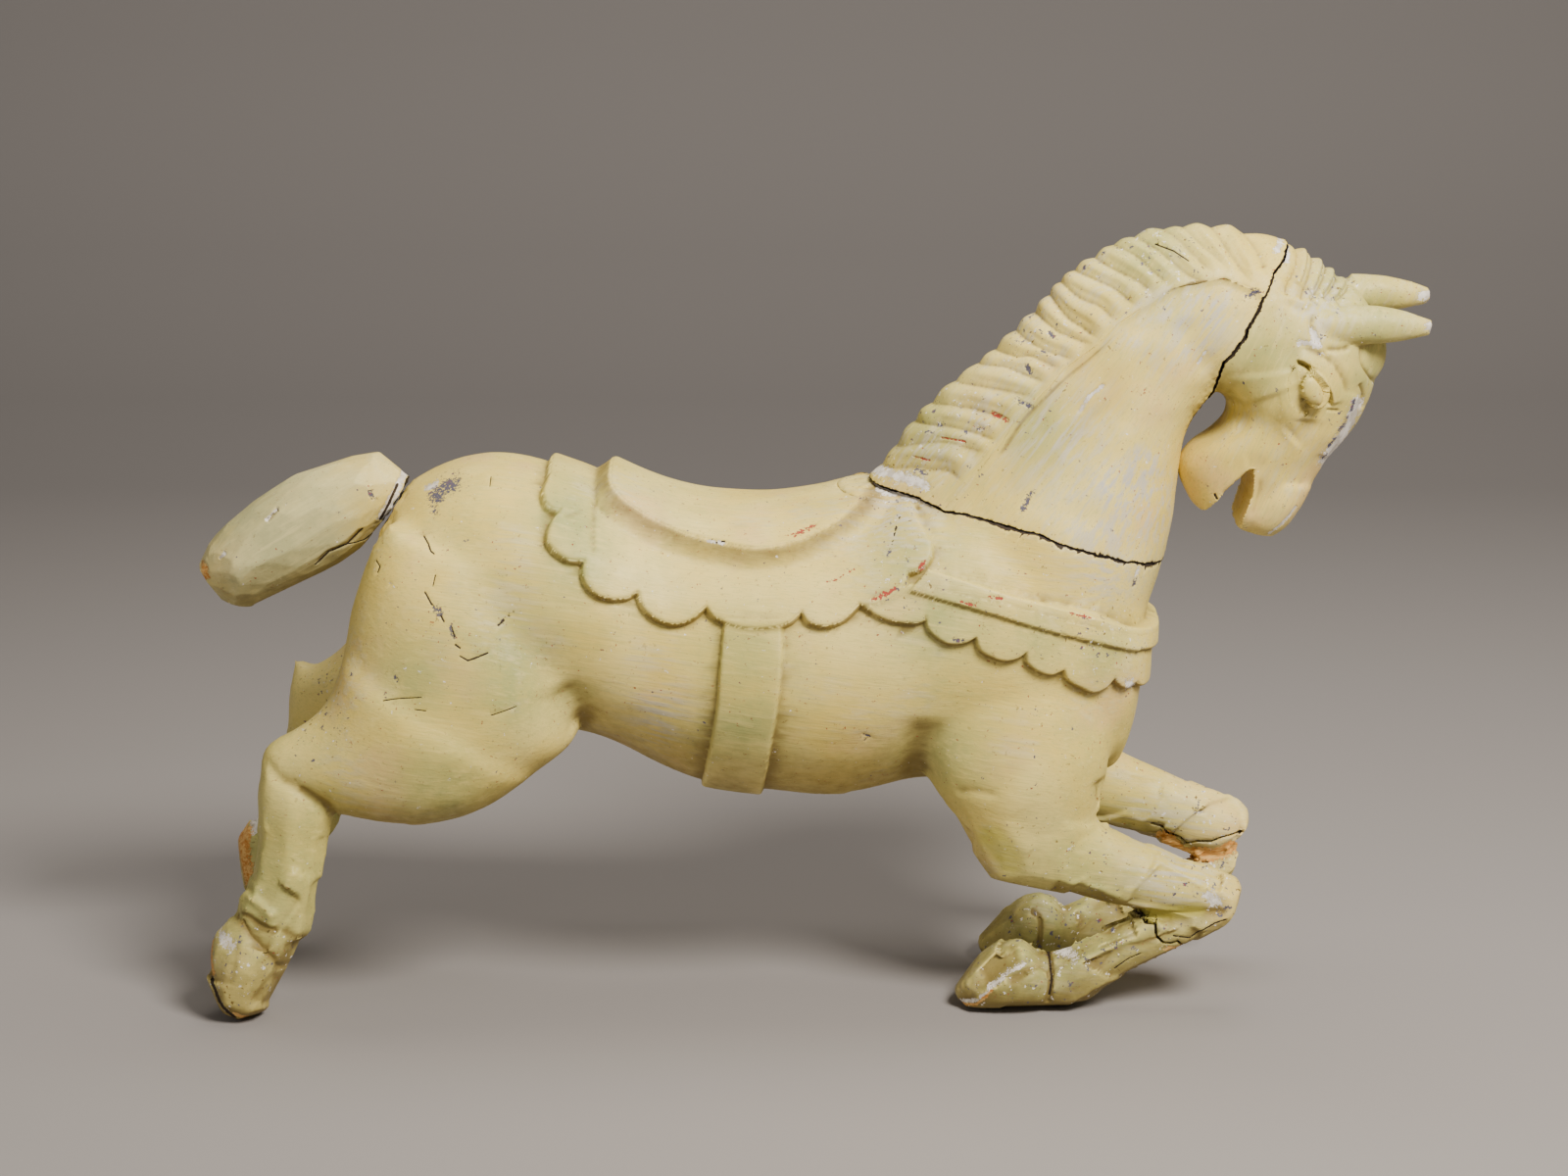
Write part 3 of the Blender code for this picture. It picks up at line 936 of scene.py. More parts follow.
@dataclass(frozen=True)
class OldPaint:
    """Pale yellow-cream top coat, streaky, soiled, darkened with painted shade and chipped to older coats."""

    name: str
    cream: Colour = (0.790, 0.600, 0.140)
    pale: Colour = (0.860, 0.700, 0.225)
    peach: Colour = (0.780, 0.520, 0.220)
    green: Colour = (0.430, 0.430, 0.135)
    haze: Colour = (0.560, 0.530, 0.470)
    # Colour of the pinholes, and of the soiling and painted shade.
    dirt_and_shade_colour: Colour = (0.180, 0.115, 0.022)
    moss: Colour = (0.480, 0.430, 0.055)
    slate: Colour = (0.105, 0.095, 0.130)
    gesso: Colour = (0.830, 0.780, 0.700)
    red: Colour = (0.420, 0.060, 0.035)
    dusty_gesso: Colour = (0.600, 0.540, 0.460)
    wood: Colour = (0.560, 0.220, 0.035)
    pale_wood: Colour = (0.800, 0.500, 0.160)
    crack: Colour = (0.035, 0.022, 0.012)
    green_share: float = 0.35
    haze_share: float = 0.30
    # Strength of the soiling and painted shade.
    dirt_and_shade_strength: float = 1.0
    roughness: float = 0.46
    brush_lean: float = 0.5

    def material(self) -> bpy.types.Material:
        """Builds the finish as shader nodes."""
        finish = bpy.data.materials.new(self.name)
        finish.use_nodes = True
        web = NodeWeb(finish.node_tree)
        shader = finish.node_tree.nodes["Principled BSDF"]
        spot = web.node("ShaderNodeTexCoord").outputs["Object"]
        middling = web.noise(spot, 70.0, 5.0, 0.62)
        fine = web.noise(spot, 520.0, 3.0, 0.7)
        brush = web.streaks(spot, self.brush_lean, 0.060, 0.0050)
        hairs = web.streaks(spot, self.brush_lean, 0.030, 0.0015)
        colour = self._top_coat(web, spot, middling, brush, hairs)
        # Soiling and painted shade: beside the panels, in the cuts and hollows, and underneath.
        dirt_and_shade = web.plus(web.read("dirt_and_shade"), web.times(web.minus(middling, 0.5), 0.50))
        dirt_and_shade = web.times(web.rise(dirt_and_shade, 0.06, 1.05), 0.85 * self.dirt_and_shade_strength)
        colour = web.blend(dirt_and_shade, colour, self.dirt_and_shade_colour)
        colour, worn = self._losses(web, spot, colour, middling, fine)
        web.join(colour, shader.inputs["Base Color"])
        gloss = web.plus(web.times(web.rise(middling, 0.35, 0.65), 0.12), self.roughness)
        gloss = web.plus(gloss, web.times(worn, 0.25))
        web.join(web.clamp(web.plus(gloss, web.times(dirt_and_shade, 0.18))), shader.inputs["Roughness"])
        shader.inputs["Specular IOR Level"].default_value = 0.42
        height = web.plus(web.times(brush, 0.45), web.times(middling, 0.45))
        height = web.plus(height, web.times(hairs, 0.16))
        height = web.plus(height, web.times(worn, -0.55))
        bump = web.node("ShaderNodeBump")
        bump.inputs["Strength"].default_value = 0.75
        bump.inputs["Distance"].default_value = 0.0013
        web.join(height, bump.inputs["Height"])
        web.join(bump.outputs["Normal"], shader.inputs["Normal"])
        return finish

    def _top_coat(
        self, web: NodeWeb, spot: bpy.types.NodeSocket, middling: bpy.types.NodeSocket,
        brush: bpy.types.NodeSocket, hairs: bpy.types.NodeSocket,
    ) -> bpy.types.NodeSocket:
        """Layers the mottled, streaky top coat.

        Args:
            web: The node tree.
            spot: Place on the object.
            middling: Noise of some centimetres.
            brush: Noise drawn out along the brush marks.
            hairs: Finer noise drawn out the same way.

        Returns:
            Its colour.
        """
        cloudy = web.noise(spot, 9.0, 4.0, 0.55)
        colour = web.blend(web.rise(cloudy, 0.38, 0.64), self.cream, self.pale)
        warm = web.noise(spot, 12.0, 4.0, 0.55)
        colour = web.blend(web.times(web.rise(warm, 0.52, 0.70), 0.55), colour, self.peach)
        patchy = web.rise(web.plus(web.noise(spot, 7.0, 5.0, 0.65), web.times(brush, 0.25)), 0.60, 0.78)
        greenness = web.plus(web.times(patchy, self.green_share), web.times(web.read("green"), 0.85))
        greenness = web.times(greenness, web.plus(0.35, web.times(middling, 1.1)))
        colour = web.blend(web.clamp(greenness), colour, self.green)
        colour = web.blend(web.times(web.rise(brush, 0.52, 0.68), 0.40), colour, self.pale)
        colour = web.blend(web.times(web.rise(hairs, 0.50, 0.34), 0.28), colour, self.green)
        haze = web.times(web.rise(web.noise(spot, 11.0, 4.0, 0.6), 0.50, 0.66), self.haze_share)
        haze = web.times(web.plus(haze, web.times(web.read("wash"), 0.7)), web.rise(brush, 0.42, 0.62))
        colour = web.blend(web.clamp(haze), colour, self.haze)
        # Convex edges turn paler: a painted highlight.
        edge = web.plus(web.read("edge"), web.times(web.minus(middling, 0.5), 0.9))
        return web.blend(web.times(web.rise(edge, 0.50, 0.80), 0.45), colour, self.pale)

    def _losses(
        self, web: NodeWeb, spot: bpy.types.NodeSocket, colour: bpy.types.NodeSocket,
        middling: bpy.types.NodeSocket, fine: bpy.types.NodeSocket,
    ) -> tuple[bpy.types.NodeSocket, bpy.types.NodeSocket]:
        """Breaks the top coat with chips, flecks, pinholes and cracks.

        Args:
            web: The node tree.
            spot: Place on the object.
            colour: Colour of the whole coat.
            middling: Noise of some centimetres.
            fine: Noise of some millimetres.

        Returns:
            The colour, and 1 where the coat is gone.
        """
        pins = web.rise(web.noise(spot, 230.0, 2.0, 0.5), 0.695, 0.715)
        flaky = web.plus(web.read("flaky"), web.times(web.rise(middling, 0.52, 0.60), 0.25))
        colour = web.blend(web.times(pins, web.clamp(web.plus(flaky, 0.30))), colour, self.dirt_and_shade_colour)
        flecks = web.plus(web.noise(spot, 150.0, 4.0, 0.65), web.times(flaky, 0.075))
        pale_flecks = web.plus(web.noise(spot, 171.0, 4.0, 0.65), web.times(flaky, 0.065))
        colour = web.blend(web.rise(pale_flecks, 0.700, 0.712), colour, self.gesso)
        colour = web.blend(web.rise(flecks, 0.695, 0.707), colour, self.slate)
        broken = web.noise(spot, 300.0, 4.0, 0.7)
        ragged = web.plus(web.times(web.minus(middling, 0.5), 1.2), web.times(web.minus(fine, 0.5), 2.0))
        ragged = web.plus(ragged, web.times(web.minus(broken, 0.56), 3.2))
        worn: object = 0.0
        for layer, under in ((Layer.MOSS, self.moss), (Layer.GESSO, self.gesso), (Layer.SLATE, self.slate),
                             (Layer.RED, self.red), (Layer.WOOD, self.wood), (Layer.CRACK, self.crack)):
            calm = {Layer.CRACK: 0.22, Layer.WOOD: 0.45, Layer.GESSO: 0.60, Layer.MOSS: 0.60}
            rough = web.times(ragged, calm.get(layer, 1.0))
            mask = web.rise(web.plus(web.read(layer.value), rough), 0.50, 0.56)
            if layer is Layer.WOOD:
                grain = web.streaks(spot, 0.2, 0.020, 0.0026)
                under = web.blend(web.rise(grain, 0.35, 0.65), self.wood, self.pale_wood)
            if layer is Layer.GESSO:
                under = web.blend(web.rise(middling, 0.42, 0.58), self.dusty_gesso, self.gesso)
            if layer is Layer.MOSS:
                mask = web.times(web.rise(web.read(layer.value), 0.15, 0.85), 0.60)
            colour = web.blend(mask, colour, under)
            if layer is not Layer.MOSS:
                worn = web.most(worn, mask)
        return colour, worn


@dataclass
class Block:
    """One glued block of the horse: shape, relief, wear and finish."""

    name: str
    node: str
    slot: str
    paint: OldPaint
    losses: tuple[Loss, ...] = ()
    green_spots: tuple[tuple[Point2, float], ...] = ()
    wash_spots: tuple[tuple[Point2, float], ...] = ()
    flaky_spots: tuple[tuple[Point2, float], ...] = ()

    def rough_form(self) -> Form:
        """Fuses the block's skins."""
        raise NotImplementedError

    def panels(self) -> list[Panel]:
        """Lists the raised panels."""
        return []

    def strokes(self) -> list[Stroke]:
        """Lists the gouge strokes."""
        return []

    def joints(self) -> list[tuple[Joint, bool]]:
        """Lists the glue lines, each with whether the side to its left stays."""
        raise NotImplementedError

    def shape(self) -> Form:
        """Makes the block's carved form."""
        form = self.rough_form()
        panels, strokes = self.panels(), self.strokes()
        cuts = [curve_through(stroke.path) for stroke in strokes]
        lost = [np.asarray(loss.path, float) for loss in self.losses]
        hair = [np.asarray(loss.path, float) for loss in self.losses if loss.width < 0.003]
        for reach, paths in ((0.0080, [*cuts, *lost]), (0.0034, hair)):
            chosen = form.near(paths, reach)
            for panel in panels:
                ring = np.vstack([panel.edge, panel.edge[:1]])
                chosen |= form.near([ring], reach, panel.height * panel.seen)
            for joint, _ in self.joints():
                chosen |= joint.about(form.points, reach)
            form.refine(chosen)
        fine_cuts = [path for path, stroke in zip(cuts, strokes) if stroke.width < 0.010]
        form.refine(form.near(fine_cuts, 0.0030))
        form.refine(form.near(hair, 0.0016))
        form.soften(2)
        form.raise_panels(panels)
        form.carve(strokes)
        for joint, keep_left in self.joints():
            form.part_at(joint, keep_left)
        form.cracked = np.max([joint.closeness(form.points) for joint, _ in self.joints()], axis=0)
        for joint, _ in self.joints():
            form.points = joint.bend(form.points)
        return form

    def dress(self, form: Form) -> bpy.types.Object:
        """Stores the measures of wear, soiling, painted shade and painted highlight, and paints and places
        the piece.

        Args:
            form: The finished form.

        Returns:
            The piece.
        """
        fine, broad = form.hollows()
        # Painted shade and soiling on faces that turn down, and darker towards the bottom of the legs.
        underside_shade_and_soiling = 0.75 * ease(-form.normals()[:, 2], 0.10, 0.95)
        underside_shade_and_soiling = underside_shade_and_soiling + 0.80 * ease(-form.points[:, 2], -0.19, 0.01)
        # Hollows and creases are darkened as well: soiling held there, and painted shade.
        dirt_and_shade = form.evened(self._gather_dirt_and_shade(form), 3) + broad * 0.009 + np.maximum(fine, 0) * 0.0035 + underside_shade_and_soiling
        measures = {
            "dirt_and_shade": np.clip(dirt_and_shade, 0, 1),
            # Paler on convex edges: a painted highlight.
            "edge": np.clip(-fine * 0.010, 0, 1),
            "green": self._spots(form.points, self.green_spots),
            "wash": self._spots(form.points, self.wash_spots),
            "flaky": self._spots(form.points, self.flaky_spots),
        }
        sunk = np.zeros(len(form.points))
        for layer in Layer:
            mask = np.zeros(len(form.points))
            for loss in self.losses:
                if loss.layer is layer:
                    part = loss.mask(form.points)
                    mask = np.maximum(mask, part)
                    sunk = np.maximum(sunk, loss.depth * ease(part, 0.35, 0.65))
            measures[layer.value] = np.maximum(mask, form.cracked) if layer is Layer.CRACK else mask
        form.push(-sunk)
        piece = form.object_named(self.name)
        for name, values in measures.items():
            stored = piece.data.attributes.new(name, "FLOAT", "POINT")
            stored.data.foreach_set("value", values.astype(np.float32))
        self._thin(piece)
        piece.data.materials.append(self.paint.material())
        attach(piece, "root")
        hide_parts(self.node)
        return piece

    def _thin(self, piece: bpy.types.Object) -> None:
        """Merges triangles where the carving is plain, down to the budget.

        Args:
            piece: The piece with its stored measures.
        """
        share = MOST_TRIANGLES / len(piece.data.polygons)
        if share >= 1:
            return
        thin = piece.modifiers.new("thin", "DECIMATE")
        thin.ratio = share
        full = piece.data
        merged = bpy.data.meshes.new_from_object(piece.evaluated_get(bpy.context.evaluated_depsgraph_get()))
        merged.name = full.name
        piece.modifiers.clear()
        piece.data = merged
        bpy.data.meshes.remove(full)

    def _gather_dirt_and_shade(self, form: Form) -> np.ndarray:
        """Gathers painted shade and soiling beside the panels and in the strokes.

        Args:
            form: The finished form.

        Returns:
            Numbers from 0 to 1.
        """
        total = np.zeros(len(form.points))
        flat = form.points[:, [0, 2]]
        for panel in self.panels():
            near, depth, _ = panel.depths(flat)
            wide = max(0.0045, 0.62 * panel.bevel)
            middle = 0.002 if panel.bevel < 0.010 else 0.48 * panel.bevel
            # A painted shadow band on and beside each panel's outer wall.
            beside = np.exp(-((np.minimum(depth, 0) + middle) / wide) ** 2) * (depth < 0)
            total[near] = np.maximum(total[near], panel.dirt_and_shade * beside)
        normals = form.normals()
        # Painted shade in the cuts, with some soiling.
        for stroke in self.strokes():
            if stroke.cut is not Cut.RIDGE:
                total = np.maximum(total, stroke.dirt_and_shade * np.abs(stroke.strength(form.points, normals)))
        return total

    @staticmethod
    def _spots(points: np.ndarray, spots: Iterable[tuple[Point2, float]]) -> np.ndarray:
        """Spreads soft round spots over the side view."""
        total = np.zeros(len(points))
        for place, size in spots:
            off = np.linalg.norm(points[:, [0, 2]] - np.asarray(place), axis=1) / size
            total = np.maximum(total, np.exp(-off * off))
        return total

    def build(self) -> bpy.types.Object:
        """Makes the block and reports it."""
        form = self.shape()
        piece = self.dress(form)
        LOG.info("%s: %d triangles", self.name, len(piece.data.polygons))
        if len(piece.data.polygons) > 1.02 * MOST_TRIANGLES:
            LOG.warning("%s is over its triangle budget", self.name)
        return piece


WIDE = (-10.0, 10.0)
NECK_JOINT = Joint(
    start=(0.0485, 0.4887), end=(0.3195, 0.4117), seed=11, gap=0.0009,
    wander=((0.00, -0.0060), (0.06, -0.0050), (0.16, -0.0018), (0.26, -0.0040), (0.37, 0.0010),
            (0.44, 0.0005),
            (0.54, 0.0027), (0.62, -0.0002), (0.77, -0.0006), (0.84, -0.0024), (0.97, -0.0011)),
)
HEAD_JOINT = Joint(
    start=(0.3548, 0.5676), end=(0.4198, 0.6986), seed=23, gap=0.0019, reach=0.018, spans=(-0.12, 1.5),
    wander=((0.02, -0.0031), (0.12, 0.0012), (0.20, 0.0037), (0.25, 0.0016), (0.33, -0.0002), (0.39, -0.0034),
            (0.45, -0.0007), (0.50, -0.0002), (0.58, -0.0013), (0.65, -0.0012), (0.73, -0.0019),
            (0.81, -0.0013), (0.92, -0.0046), (1.03, -0.0060)),
)
TAIL_JOINT = Joint(
    start=(-0.392, 0.440), end=(-0.366, 0.486), seed=37, gap=0.0014, spans=(-0.6, 1.6), reach=0.008,
    wander=((0.0, 0.0005), (0.3, -0.0012), (0.5, 0.0010), (0.7, -0.0008), (1.0, 0.0015)),
)

NECK_RIBS: tuple[RibSizes, ...] = (
    (0.030, 0.420, 0.300, 0.345, 0.098),
    (0.050, 0.478, 0.318, 0.403, 0.097),
    (0.076, 0.512, 0.326, 0.440, 0.088),
    (0.108, 0.552, 0.330, 0.475, 0.078),
    (0.148, 0.588, 0.335, 0.515, 0.070),
    (0.193, 0.628, 0.343, 0.544, 0.064),
    (0.238, 0.675, 0.353, 0.556, 0.060),
    (0.294, 0.706, 0.359, 0.562, 0.057),
    (0.343, 0.712, 0.361, 0.564, 0.056),
    (0.385, 0.707, 0.363, 0.564, 0.056),
    (0.440, 0.689, 0.366, 0.562, 0.057),
)


HEAD_RIBS: tuple[RibSizes, ...] = (
    (0.388, 0.702, 0.350, 0.568, 0.056),
    (0.400, 0.704, 0.358, 0.566, 0.056),
    (0.436, 0.694, 0.366, 0.563, 0.057),
    (0.470, 0.672, 0.373, 0.556, 0.060),
    (0.500, 0.640, 0.374, 0.547, 0.062),
    (0.510, 0.604, 0.369, 0.534, 0.062),
    (0.508, 0.568, 0.357, 0.523, 0.058),
    (0.493, 0.532, 0.341, 0.513, 0.052),
    (0.467, 0.499, 0.332, 0.496, 0.046),
    (0.452, 0.472, 0.336, 0.478, 0.041),
    (0.441, 0.449, 0.347, 0.459, 0.037),
    (0.424, 0.432, 0.362, 0.448, 0.028),
)


TRUNK_RIBS: tuple[RibSizes, ...] = (
    (-0.388, 0.450, -0.414, 0.350, 0.050),
    (-0.364, 0.480, -0.400, 0.300, 0.086),
    (-0.325, 0.500, -0.340, 0.262, 0.112),
    (-0.280, 0.505, -0.270, 0.250, 0.124),
    (-0.220, 0.488, -0.200, 0.246, 0.126),
    (-0.130, 0.451, -0.110, 0.204, 0.126),
    (-0.040, 0.442, -0.030, 0.191, 0.129),
    (0.040, 0.456, 0.035, 0.189, 0.131),
    (0.100, 0.480, 0.100, 0.203, 0.128),
    (0.170, 0.484, 0.180, 0.204, 0.118),
    (0.250, 0.440, 0.235, 0.206, 0.098),
    (0.296, 0.400, 0.278, 0.212, 0.074),
    (0.305, 0.368, 0.295, 0.256, 0.044),
)


@dataclass
class Trunk(Block):
    """Trunk with its legs, saddle, cloth, girth and breast collar."""

    hind_y: float = 0.095
    thigh_y: float = 0.078
    fore_y: float = 0.068
    arm_y: float = 0.066
    far_hind_lift: float = 0.045
    far_arm_shift: Point2 = (0.024, 0.033)
    far_shank_shift: Point2 = (0.028, 0.000)
    back_top: float = 0.56
    cloth_height: float = 0.0095
    seat_height: float = 0.0270
    strap_height: float = 0.0060
    collar_height: float = 0.0125
    apron_height: float = 0.0075
    thigh_ribs: tuple[RibSizes, ...] = (
        (-0.380, 0.456, -0.240, 0.400, 0.040),
        (-0.400, 0.421, -0.212, 0.310, 0.062),
        (-0.415, 0.375, -0.214, 0.260, 0.068),
        (-0.422, 0.335, -0.254, 0.224, 0.066),
        (-0.431, 0.308, -0.302, 0.193, 0.060),
        (-0.444, 0.287, -0.364, 0.181, 0.050),
        (-0.464, 0.270, -0.420, 0.190, 0.038),
        (-0.492, 0.255, -0.448, 0.206, 0.027),
        (-0.500, 0.238, -0.440, 0.200, 0.026),
    )
    cannon_ribs: tuple[RibSizes, ...] = (
        (-0.495, 0.250, -0.440, 0.214, 0.022),
        (-0.501, 0.215, -0.432, 0.195, 0.028),
        (-0.506, 0.165, -0.439, 0.160, 0.027),
        (-0.515, 0.125, -0.447, 0.117, 0.028),
        (-0.526, 0.109, -0.451, 0.088, 0.032),
        (-0.524, 0.094, -0.456, 0.072, 0.031),
    )
    rear_hoof_ribs: tuple[RibSizes, ...] = (
        (-0.531, 0.096, -0.466, 0.066, 0.031),
        (-0.547, 0.078, -0.480, 0.046, 0.037),
        (-0.552, 0.058, -0.485, 0.032, 0.038),
        (-0.549, 0.030, -0.497, 0.010, 0.032),
        (-0.540, 0.010, -0.513, 0.001, 0.018),
    )
    arm_ribs: tuple[RibSizes, ...] = (
        (0.070, 0.340, 0.250, 0.330, 0.040),
        (0.086, 0.260, 0.270, 0.255, 0.052),
        (0.104, 0.218, 0.264, 0.206, 0.050),
        (0.128, 0.182, 0.259, 0.186, 0.044),
        (0.150, 0.142, 0.262, 0.178, 0.038),
        (0.172, 0.120, 0.280, 0.168, 0.034),
        (0.240, 0.105, 0.323, 0.149, 0.030),
        (0.300, 0.090, 0.366, 0.133, 0.027),
        (0.344, 0.072, 0.389, 0.119, 0.025),
        (0.358, 0.066, 0.390, 0.100, 0.021),
    )
    shank_ribs: tuple[RibSizes, ...] = (
        (0.382, 0.116, 0.374, 0.078, 0.022),
        (0.345, 0.104, 0.347, 0.060, 0.023),
        (0.290, 0.086, 0.290, 0.030, 0.024),
        (0.248, 0.066, 0.258, 0.004, 0.027),
        (0.226, 0.058, 0.240, 0.000, 0.028),
        (0.204, 0.054, 0.212, 0.001, 0.026),
    )
    fore_hoof_ribs: tuple[RibSizes, ...] = (
        (0.206, 0.058, 0.217, 0.004, 0.028),
        (0.190, 0.067, 0.198, 0.000, 0.034),
        (0.168, 0.057, 0.176, 0.000, 0.033),
        (0.145, 0.034, 0.152, 0.001, 0.024),
        (0.134, 0.018, 0.135, 0.010, 0.010),
    )
    cloth_lobes: tuple[Path, ...] = (
        ((-0.2385, 0.5160), (-0.2370, 0.4957)),
        ((-0.2402, 0.4882), (-0.2411, 0.4838), (-0.2371, 0.4756), (-0.2309, 0.4720), (-0.2248, 0.4707)),
        ((-0.2321, 0.4622), (-0.2354, 0.4495), (-0.2293, 0.4398), (-0.2163, 0.4316), (-0.2024, 0.4302)),
        ((-0.2037, 0.4213), (-0.2005, 0.4112), (-0.1923, 0.4026), (-0.1795, 0.3977), (-0.1645, 0.3979),
         (-0.1556, 0.4026)),
        ((-0.1503, 0.3894), (-0.1386, 0.3789), (-0.1236, 0.3744), (-0.1085, 0.3783), (-0.0956, 0.3893)),
        ((-0.0870, 0.3798), (-0.0675, 0.3727), (-0.0459, 0.3714), (-0.0243, 0.3753), (-0.0114, 0.3855)),
        ((-0.0049, 0.3770), (0.0102, 0.3738), (0.0252, 0.3790), (0.0393, 0.3923)),
        ((0.0522, 0.3919), (0.0684, 0.3978), (0.0792, 0.4081), (0.0821, 0.4192)),
        ((0.0944, 0.4238), (0.1032, 0.4322), (0.1048, 0.4415), (0.1004, 0.4508), (0.0935, 0.4631),
         (0.0879, 0.4700)),
    )
    seat_rim: Path = (
        (-0.1829, 0.4998), (-0.1805, 0.4895), (-0.1667, 0.4761), (-0.1445, 0.4626), (-0.1181, 0.4509),
        (-0.0896, 0.4437), (-0.0569, 0.4387), (-0.0243, 0.4417), (0.0040, 0.4509), (0.0283, 0.4633),
        (0.0463, 0.4776), (0.0534, 0.4862),
    )
    strap_back: Path = ((-0.0790, 0.3775), (-0.0827, 0.3376), (-0.0855, 0.3009), (-0.0923, 0.2550),
                        (-0.1036, 0.1940), (-0.1080, 0.1500))
    strap_front: Path = ((-0.0490, 0.1500), (-0.0474, 0.1911), (-0.0397, 0.2543), (-0.0326, 0.3017),
                         (-0.0291, 0.3362), (-0.0284, 0.3775))
    collar_top: Path = ((0.1005, 0.4240), (0.1470, 0.4095), (0.1730, 0.4005), (0.2170, 0.3870),
                        (0.2500, 0.3760), (0.2920, 0.3610), (0.3400, 0.3560))
    collar_low: Path = ((0.3400, 0.3300), (0.2980, 0.3400), (0.2900, 0.3400), (0.2490, 0.3530),
                        (0.2080, 0.3660), (0.1640, 0.3810), (0.1220, 0.3940), (0.0830, 0.4050))
    apron_lobes: tuple[Path, ...] = (
        ((0.0400, 0.3920), (0.0600, 0.3810), (0.0770, 0.3770), (0.0940, 0.3770), (0.0980, 0.3820)),
        ((0.1010, 0.3710), (0.1120, 0.3610), (0.1220, 0.3570), (0.1340, 0.3580), (0.1430, 0.3625)),
        ((0.1470, 0.3510), (0.1570, 0.3440), (0.1690, 0.3400), (0.1810, 0.3420), (0.1885, 0.3470)),
        ((0.1900, 0.3370), (0.2010, 0.3280), (0.2120, 0.3250), (0.2230, 0.3285)),
        ((0.2270, 0.3190), (0.2380, 0.3110), (0.2510, 0.3050), (0.2620, 0.3080), (0.2705, 0.3165)),
        ((0.2740, 0.3110), (0.2820, 0.3050), (0.2920, 0.3100)),
        ((0.3000, 0.3040), (0.3300, 0.3040)),
    )

    def rough_form(self) -> Form:
        """Fuses the trunk, the neck's root and the four legs."""
        skins = [Skin(TRUNK_RIBS, slope=-0.06, sides=64), Skin(NECK_RIBS[:5], slope=0.30)]
        for side, lift in ((-1, 0.0), (1, self.far_hind_lift)):
            whole, half = (0.0, lift), (0.0, lift / 2)
            skins += [
                Skin(self.thigh_ribs[:5], side * self.thigh_y),
                Skin(self.thigh_ribs[3:], side * self.hind_y * 0.92, shift=half),
                Skin(self.cannon_ribs, side * self.hind_y, power=2.2, shift=whole, sides=8),
                Skin(self.rear_hoof_ribs, side * self.hind_y, power=2.2, shift=whole, sides=10),
            ]
        skins += [
            Skin(self.arm_ribs, -self.arm_y),
            Skin(self.arm_ribs[:4], self.arm_y),
            Skin(self.arm_ribs[3:], self.arm_y, shift=self.far_arm_shift),
        ]
        for side, shift in ((-1, (0.0, 0.0)), (1, self.far_shank_shift)):
            skins += [
                Skin(self.shank_ribs, side * self.fore_y, power=2.2, shift=shift, sides=8),
                Skin(self.fore_hoof_ribs, side * self.fore_y, power=2.2, shift=shift, sides=12),
            ]
        form = Form.fused(skins, 0.0045, 2)
        form.soften(8, 0.10 + 0.90 * ease(form.points[:, 2], 0.17, 0.23))
        form.refine(form.points[:, 2] < 0.23)
        form.push(0.0009 * waves(form.points, 0.16, 5) + 0.00030 * waves(form.points, 0.035, 6))
        shanks = ease(-form.points[:, 2], -0.215, -0.165)
        form.knife(shanks * 0.9, 0.036, 0.0030, 41)
        for side, shift in ((Side.NEAR, 0.0), (Side.FAR, self.far_shank_shift[0])):
            form.pare(Facet((0.133 + shift, 0.004), (0.203 + shift, 0.058), 0.100, 1.05, 0.062, side=side))
        form.points[:, 2] = np.maximum(form.points[:, 2], 0.0)
        return form

    def panels(self) -> list[Panel]:
        """Lists the girth, cloth, seat, apron and collar."""
        top = self.back_top
        strap = np.vstack([curve_through(self.strap_back), curve_through(self.strap_front)])
        cloth = lobed(self.cloth_lobes)
        cloth = np.vstack([[cloth[0][0], top], cloth, [cloth[-1][0] - 0.01, top]])
        above = [[0.360, 0.345], [0.290, 0.352], [0.165, 0.392], [0.084, 0.410]]
        apron = np.vstack([lobed(self.apron_lobes), above])
        collar = np.vstack([curve_through(self.collar_top), curve_through(self.collar_low)])
        seat = curve_through(self.seat_rim)
        seat = np.vstack([[seat[0][0], top], seat, [seat[-1][0], top]])
        return [
            Panel(strap, self.strap_height),
            Panel(cloth, self.cloth_height, dies_at=NECK_JOINT),
            Panel(apron, self.apron_height),
            Panel(collar, self.collar_height, bevel=0.0022, round_over=0.0032, sweep=1.6, dirt_and_shade=0.30),
            # The seat's cove band below its rim is darkened with painted shade.
            Panel(seat, self.seat_height, bevel=0.0150, round_over=0.005, wall=0.90, sweep=1.15, dirt_and_shade=0.80,
                  dies_at=NECK_JOINT),
        ]

